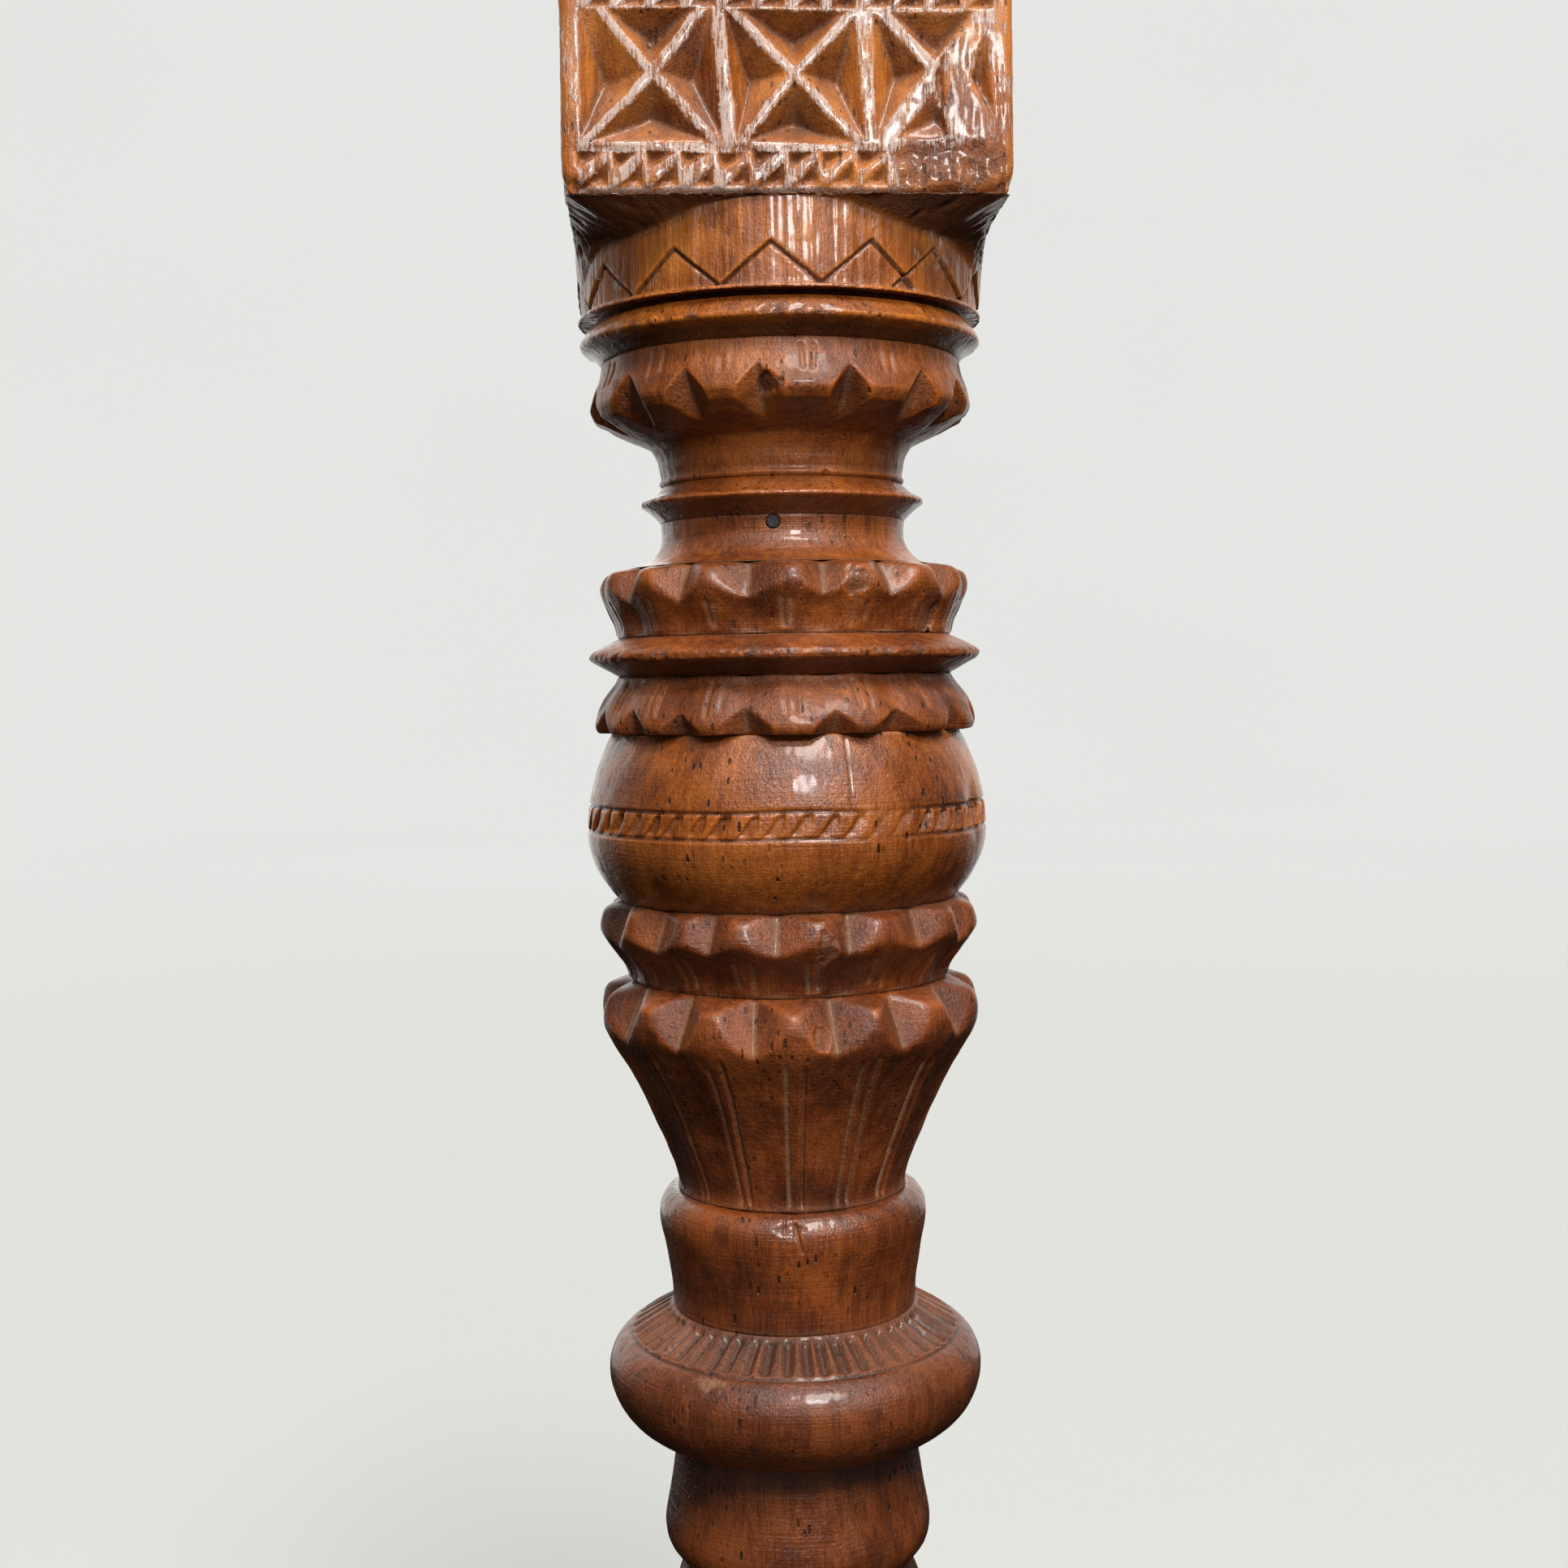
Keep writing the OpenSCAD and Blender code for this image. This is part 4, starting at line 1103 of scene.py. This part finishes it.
def face_facts(chips, x, z, scar, side, flip, damaged):
    """Each point's lime, raw wood, place on the face, how far its wall faces down, and its face."""
    in_bands = np.abs(z % BAND_PITCH - GAP - TOOTH_H / 2) < TOOTH_H / 2 + 0.6
    on_margin = np.abs(x) > 55.8
    strength = np.where(on_margin, np.where(x < 0, 0.36, 0.08), np.where(in_bands, 0.85, 1.0))
    if damaged:
        strength = np.where((x > 40) & (z > 10) & (z < 44), 0.55, strength)
    lime = (1 - smoothstep(0.05, 0.32, chip_depth(chips, x, z))) * strength * (1 - 1.7 * scar)
    overhang = (chip_depth(chips, x, z - 0.3) - chip_depth(chips, x, z + 0.3)) / 0.6
    return np.stack([lime, scar, x, z, -overhang if flip else overhang, 0 * x + side], axis=1)


def close_end(points, facts, level, hole_r, hole_depth, seed):
    """An end of a block: rings from its edge in to the hole, then down its wall and across its floor."""
    rim = np.where(np.abs(facts[:, UP] - level) < 1e-3)[0]
    order = rim[np.argsort(facts[rim, SIDE] * 2 * facts[:, ACROSS].max() + facts[rim, ACROSS])]
    angle = np.arctan2(points[order, 0], -points[order, 1])
    inner = np.stack([hole_r * np.sin(angle), -hole_r * np.cos(angle), 0 * angle + level], axis=1)
    inward = 1 if level == 0 else -1
    rings = [points[order] * (1 - t) + inner * t for t in np.linspace(0, 1, 26)[1:]]
    for ring in rings[:-2]:
        ring[:, 2] += 0.12 * inward * fbm(ring[:, 0] / 3, ring[:, 1] / 3, 0 * angle, 3, seed)
    rings += [inner + [0, 0, inward * hole_depth * t] for t in (0.05, 0.5, 1.0)]
    rings += [inner * [share, share, 1] + [0, 0, inward * hole_depth] for share in (0.5, 0.02)]
    outer, strips = order, []
    for ring in rings + [rings[-1].mean(axis=0, keepdims=True)]:
        current = len(points) + np.arange(len(ring))
        points = np.vstack([points, ring])
        facts = np.vstack([facts, np.zeros((len(ring), facts.shape[1]))])
        if len(ring) == 1:
            strips.append(np.stack([outer, current.repeat(len(outer)), np.roll(outer, -1)], axis=1))
        else:
            strips.append(np.stack([outer, current, np.roll(current, -1)], axis=1))
            strips.append(np.stack([outer, np.roll(current, -1), np.roll(outer, -1)], axis=1))
        outer = current
    faces = np.vstack(strips)
    return points, facts, faces if level == 0 else faces[:, ::-1]


def carved_block(name, material, sides, flip, fine):
    """A square block with four carved faces. In its own frame the joint side is at z = 0."""
    rng = np.random.default_rng(11 if flip else 5)
    seed = 60 if flip else 90
    places, tris, facts, borders = [], [], [], []
    for side, carve in enumerate(sides):
        chips = carve(rng)
        flat, face = face_mesh(chips, fine if side == 0 else COARSE, rng)
        x, z = flat[:, 0], flat[:, 1]
        damaged = carve is front_face
        depth, scar = face_relief(chips, x, z, side, seed, damaged)
        tris.append(face + sum(map(len, places)))
        places.append(bent_face(x, z, depth, side, seed))
        facts.append(face_facts(chips, x, z, scar, side, flip, damaged))
        corners = (x < x.min() + 1e-3, x > x.max() - 1e-3)
        borders.append([np.where(at)[0][np.argsort(z[at])] for at in corners])
    # both faces at a corner share the line between them
    for side in range(4):
        after = (side + 1) % 4
        shared = (places[side][borders[side][1]] + places[after][borders[after][0]]) / 2
        places[side][borders[side][1]] = places[after][borders[after][0]] = shared
    points, faces, facts = np.vstack(places), np.vstack(tris), np.vstack(facts)
    # weld the seams between the faces
    key = np.round(points / 0.004).astype(np.int64)
    _, first, where = np.unique(key, axis=0, return_index=True, return_inverse=True)
    points, facts, faces = points[first], facts[first], where.ravel()[faces]
    a, b, c = faces.T
    faces = faces[(a != b) & (b != c) & (c != a)]
    for level, hole_r, hole_depth in ((0.0, BORE_R, SOCKET_DEPTH), (BLOCK_H, DOWEL_HOLE_R, DOWEL_HOLE_DEPTH)):
        points, facts, end = close_end(points, facts, level, hole_r, hole_depth, seed)
        faces = np.vstack([faces, end])
    # take the sharpness off every cut, and measure how far each point stands out
    pairs = np.vstack([faces[:, [0, 1]], faces[:, [1, 2]], faces[:, [2, 0]]])
    pairs = np.unique(np.sort(pairs, axis=1), axis=0)
    count = np.bincount(pairs.ravel(), minlength=len(points))[:, None]

    def relaxed(p, share):
        total = np.stack([np.bincount(pairs[:, 0], p[pairs[:, 1], k], len(p))
                          + np.bincount(pairs[:, 1], p[pairs[:, 0], k], len(p)) for k in range(3)], axis=1)
        return p + (total / count - p) * share

    for _ in range(2):
        points = relaxed(points, 0.28)
    smooth, shapes = points, {}
    for k in range(40):
        smooth = relaxed(smooth, 0.6)
        if k in (3, 39):
            shapes[k] = smooth
    a, b, c = (points[faces[:, k]] for k in range(3))
    face_normal = np.cross(b - a, c - a)
    normal = np.zeros_like(points)
    for corner in range(3):
        for axis in range(3):
            normal[:, axis] += np.bincount(faces[:, corner], face_normal[:, axis], len(points))
    normal /= np.linalg.norm(normal, axis=1, keepdims=True) + 1e-9
    edge = ((points - shapes[3]) * normal).sum(axis=1)
    hollow = -((points - shapes[39]) * normal).sum(axis=1)
    # painted shade on the walls that face down, and dust on those that face up
    overhang, scar = facts[:, OVERHANG], facts[:, SCAR]
    dust = 0.5 * smoothstep(0.12, 0.6, -edge) + 0.35 * scar + 0.4 * smoothstep(0.3, 0.7, -overhang)
    marks = dict(edge=edge, hollow=hollow, lime=facts[:, LIME], scar=scar,
                 dark=0.36 * smoothstep(0.2, 0.55, overhang), dust=dust)
    z_lo, z_hi = member_z(name)
    if flip:
        points = points * [1, 1, -1] + [0, 0, z_hi]
        faces = faces[:, ::-1]
    else:
        points = points + [0, 0, z_lo]
    make_mesh(name, points, faces, marks, material)


# ---------------------------------------------------------------- the post

# the palettes darken down the post: red and deep, used below the belly, are darker partly as the wood's own
# tone and partly as painted shade
orange = dict(dark=srgb(98, 44, 10), mid=srgb(156, 83, 24), light=srgb(194, 116, 44))
warm = dict(dark=srgb(84, 36, 8), mid=srgb(134, 68, 18), light=srgb(170, 95, 36))
russet = dict(dark=srgb(74, 32, 8), mid=srgb(120, 58, 16), light=srgb(156, 84, 31))
red = dict(dark=srgb(64, 28, 8), mid=srgb(106, 49, 15), light=srgb(142, 73, 27))
deep = dict(dark=srgb(54, 24, 8), mid=srgb(92, 42, 13), light=srgb(126, 64, 25))

carved_block("capital_block",
             wood("block_top", **orange, gloss=0.42, limed=1.0, dusty=0.55, lathe=0.0, worn=0.5),
             (front_face, plain_face, plain_face, plain_face), False, FINE)
drum("capital_drum", wood("drum_top", **orange, gloss=0.34, limed=0.8, lathe=0.0, worn=0.5, pores=0.3))
bead("capital_bead", wood("bead_top", **orange, gloss=0.32, lathe=0.8),
     dings=((-4, 2.2, 1.3), (-7, 1.2, 0.8), (2, 1.6, 0.6), (8, 3, 0.5), (-27, 1.5, 0.4)))
crown("petal_crown", wood("crown", **warm, gloss=0.42, coat=0.15))
neck_ring("neck_ring", wood("neck", **russet, gloss=0.34, lathe=0.9, worn=0.5))
cove("neck_cove", wood("cove", **warm, gloss=0.38, lathe=0.8))
scallop_ring("neck_scallop_ring", 54.5, 48.9, 46.4, 0.8, (-60.6, -37.1, -14.1, 8.9, 31.6), 9.4, 64,
             wood("ring_top", **russet, gloss=0.36, dusty=0.75, coat=0.2),
             breaks=((19, 14, 4.2, 4, 0.5), (54, 5, 2.2, 5, 1.4)), veins=0.3)
flange("waist_flange", wood("flange", **russet, gloss=0.36, lathe=0.8, worn=0.5, coat=0.1))
skirt("petal_skirt", wood("skirt", **russet, gloss=0.48, dusty=0.5, coat=0.12))
belly("belly", wood("belly_wood", **warm, gloss=0.28, lathe=0.5, pores=1.0, coat=0.3))
scallop_ring("vase_scallop_ring", 56.3, 46.7, 49.6, 0.76, (-47.3, -27.9, -6.9, 14.5, 39), 11.2, 66,
             wood("ring_mid", **red, gloss=0.38, dusty=0.75, coat=0.2), breaks=((7.5, 15, 3.2, 4.5, 0.5),))
vase("upper_vase", wood("vase_top", **red, gloss=0.44, dusty=0.8, pores=0.8, worn=0.9, coat=0.15))
collar("upper_collar", wood("collar_top", **red, gloss=0.32, pores=1.0, lathe=0.7))
torus("torus_ring", wood("torus", **deep, gloss=0.42, dusty=0.7, lathe=0.6, coat=0.25))
collar("lower_collar", wood("collar_low", **deep, gloss=0.32, pores=1.0, lathe=0.7), flip=True)
vase("lower_vase", wood("vase_low", **deep, gloss=0.3, dusty=0.6, pores=0.8), flip=True)
scallop_ring("base_scallop_ring", 56.3, 46.7, 49.6, 0.76, (-52, -30, -8, 15, 38), 11.2, 66,
             wood("ring_low", **deep, gloss=0.3, dusty=0.65), flip=True)
bead("base_bead", wood("bead_low", **deep, gloss=0.32, lathe=0.8), flip=True,
     dings=((20, 2, 0.8), (-33, 1.5, 0.6)))
drum("base_drum", wood("drum_low", **deep, gloss=0.4, limed=0.6, lathe=0.0, worn=0.5, pores=0.3), flip=True,
     apexes=(-51, -25, 1, 27, 52))
carved_block("base_block", wood("block_low", **red, gloss=0.44, limed=0.85, dusty=0.55, lathe=0.0, worn=0.5),
             (plain_face,) * 4, True, COARSE)

core_wood = wood("core", srgb(120, 74, 42), srgb(166, 112, 68), srgb(196, 146, 98), gloss=0.5, lathe=0.6)
peg_wood = wood("peg", srgb(58, 32, 18), srgb(92, 54, 30), srgb(124, 78, 46), gloss=0.45)
dark_peg = wood("peg_dark", srgb(14, 14, 22), srgb(24, 24, 34), srgb(38, 38, 48), gloss=0.6, pores=0.2)
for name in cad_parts:
    part = bpy.data.objects.get(name)
    if part is None or part.type != "MESH":
        continue
    finish = core_wood if name.startswith("core") else dark_peg if name == "neck_peg" else peg_wood
    part.data.materials.clear()
    part.data.materials.append(finish)


# ---------------------------------------------------------------- floor, light and camera

ROOM = 9.0


def pale_paint(name, low, high, glow):
    """White paint, lit by the lamps near the post and even further out."""
    paint = bpy.data.materials.new(name)
    n = Nodes(paint)
    tint = n.noise(n.place(), 0.4, 3)
    colour = n.blend(tint, low, high)
    # the lit floor about the post fades into an even pale ground further out
    place = n.stretched(n.place(), 1, 1, 0)
    out_there = n.band(n.length(place), 0.8, ROOM / 2)
    out_there = n.maths("MAXIMUM", out_there, glow)
    n.plug(n.blend(out_there, srgb(203, 204, 201), (0, 0, 0, 1)), n.shader.inputs["Base Color"])
    n.plug(n.blend(out_there, (0, 0, 0, 1), colour), n.shader.inputs["Emission Color"])
    n.shader.inputs["Emission Strength"].default_value = 1.0
    n.shader.inputs["Roughness"].default_value = 0.95
    n.shader.inputs["Specular IOR Level"].default_value = 0.0
    return paint


def studio_shell(name, rings, paint):
    """Part of the round studio, only for the eye: it neither shades nor lights the post."""
    sides, points, faces = 96, [], []
    for r, z in rings:
        turns = [math.tau * k / sides for k in range(sides)]
        points += [(r * math.cos(a), r * math.sin(a), z) for a in turns]
    for ring in range(len(rings) - 1):
        a, b = ring * sides, ring * sides + sides
        faces += [(a + k, a + (k + 1) % sides, b + (k + 1) % sides, b + k) for k in range(sides)]
    mesh = bpy.data.meshes.new(name)
    mesh.from_pydata(points, [], faces)
    mesh.materials.append(paint)
    mesh.polygons.foreach_set("use_smooth", [True] * len(faces))
    shell = bpy.data.objects.new(name, mesh)
    bpy.context.scene.collection.objects.link(shell)
    shell.visible_diffuse = shell.visible_glossy = False
    return shell


studio_shell("floor", [(0.001, 0), (0.5, 0), (2, 0), (ROOM - 3, 0)],
             pale_paint("floor_paint", srgb(226, 227, 224), srgb(232, 233, 230), 0.4))
cove_rings = [(ROOM - 3 + 3 * math.sin(a), 3 - 3 * math.cos(a)) for a in np.linspace(0, math.pi / 2, 24)]
wall = studio_shell("backdrop", cove_rings + [(ROOM, 9.0), (ROOM * 0.7, 11.0), (0.001, 12.0)],
                    pale_paint("backdrop_paint", srgb(226, 227, 224), srgb(232, 233, 230), 1.0))
wall.visible_shadow = False

scene = bpy.context.scene
world = scene.world or bpy.data.worlds.new("studio")
scene.world = world
world.use_nodes = True
# soft daylight from above and in front, and little light from below
tree = world.node_tree
direction = tree.nodes.new("ShaderNodeTexCoord")
toward = tree.nodes.new("ShaderNodeVectorMath")
toward.operation = "DOT_PRODUCT"
toward.inputs[1].default_value = Vector((0.05, -0.52, 0.85)).normalized()
shade = tree.nodes.new("ShaderNodeValToRGB")
lift = tree.nodes.new("ShaderNodeMapRange")
lift.inputs["From Min"].default_value = -1.0
tree.links.new(direction.outputs["Generated"], toward.inputs[0])
tree.links.new(toward.outputs["Value"], lift.inputs["Value"])
tree.links.new(lift.outputs[0], shade.inputs[0])
tree.links.new(shade.outputs[0], tree.nodes["Background"].inputs["Color"])
ramp = shade.color_ramp
ramp.elements[0].position, ramp.elements[0].color = 0.2, (0.012, 0.010, 0.008, 1)
ramp.elements[1].position, ramp.elements[1].color = 1.0, (0.78, 0.78, 0.78, 1)
for position, colour in ((0.5, (0.10, 0.10, 0.095, 1)), (0.76, (0.06, 0.06, 0.06, 1)),
                         (0.90, (0.68, 0.68, 0.68, 1))):
    ramp.elements.new(position).color = colour
tree.nodes["Background"].inputs["Strength"].default_value = 1.0
scene.view_settings.view_transform = "Standard"


def lamp(name, place, aim, size, watts, colour):
    """A round area light at a place, turned to a point."""
    data = bpy.data.lights.new(name, "AREA")
    data.shape, data.size, data.energy, data.color = "DISK", size, watts, colour
    light = bpy.data.objects.new(name, data)
    light.location = place
    light.rotation_euler = (Vector(aim) - Vector(place)).to_track_quat("-Z", "Y").to_euler()
    scene.collection.objects.link(light)


lamp("key", (0.10, -0.58, 0.77), (0, 0, 0.40), 0.11, 1.7, (1.0, 0.98, 0.97))


def daylight(name, toward, energy, spread_angle):
    """A sun that shines along a direction, its shadows softened by an angle in degrees."""
    data = bpy.data.lights.new(name, "SUN")
    data.energy, data.angle, data.color = energy, math.radians(spread_angle), (1.0, 0.98, 0.94)
    data.specular_factor = 0.25
    light = bpy.data.objects.new(name, data)
    light.rotation_euler = Vector(toward).to_track_quat("-Z", "Y").to_euler()
    scene.collection.objects.link(light)


daylight("daylight", (-0.18, 0.66, -0.88), 2.8, 20)
# a weaker, softer light from each side behind keeps the back readable
daylight("back_light_left", (0.4, -1.0, -0.3), 1.0, 60)
daylight("back_light_right", (-0.4, -1.0, -0.3), 0.8, 60)

EYE_DISTANCE = 0.580
EYE_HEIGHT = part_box("neck_scallop_ring")[0][2] - 0.012
camera_data = bpy.data.cameras.new("camera")
camera_data.lens, camera_data.sensor_width = 44.72, 36.0
camera_data.clip_start, camera_data.clip_end = 0.01, 100
camera = bpy.data.objects.new("camera", camera_data)
left = Vector((-math.cos(EYE_TURN), math.sin(EYE_TURN), 0)) * 0.0007
eye = Vector((-EYE_DISTANCE * math.sin(EYE_TURN), -EYE_DISTANCE * math.cos(EYE_TURN), EYE_HEIGHT))
camera.location = eye + left
camera.rotation_euler = (Matrix.Rotation(-EYE_TURN, 3, "Z") @ Matrix.Rotation(math.radians(90 - 3.13), 3, "X")
                         @ Matrix.Rotation(math.radians(-0.9), 3, "Z")).to_euler()
scene.collection.objects.link(camera)
scene.camera = camera
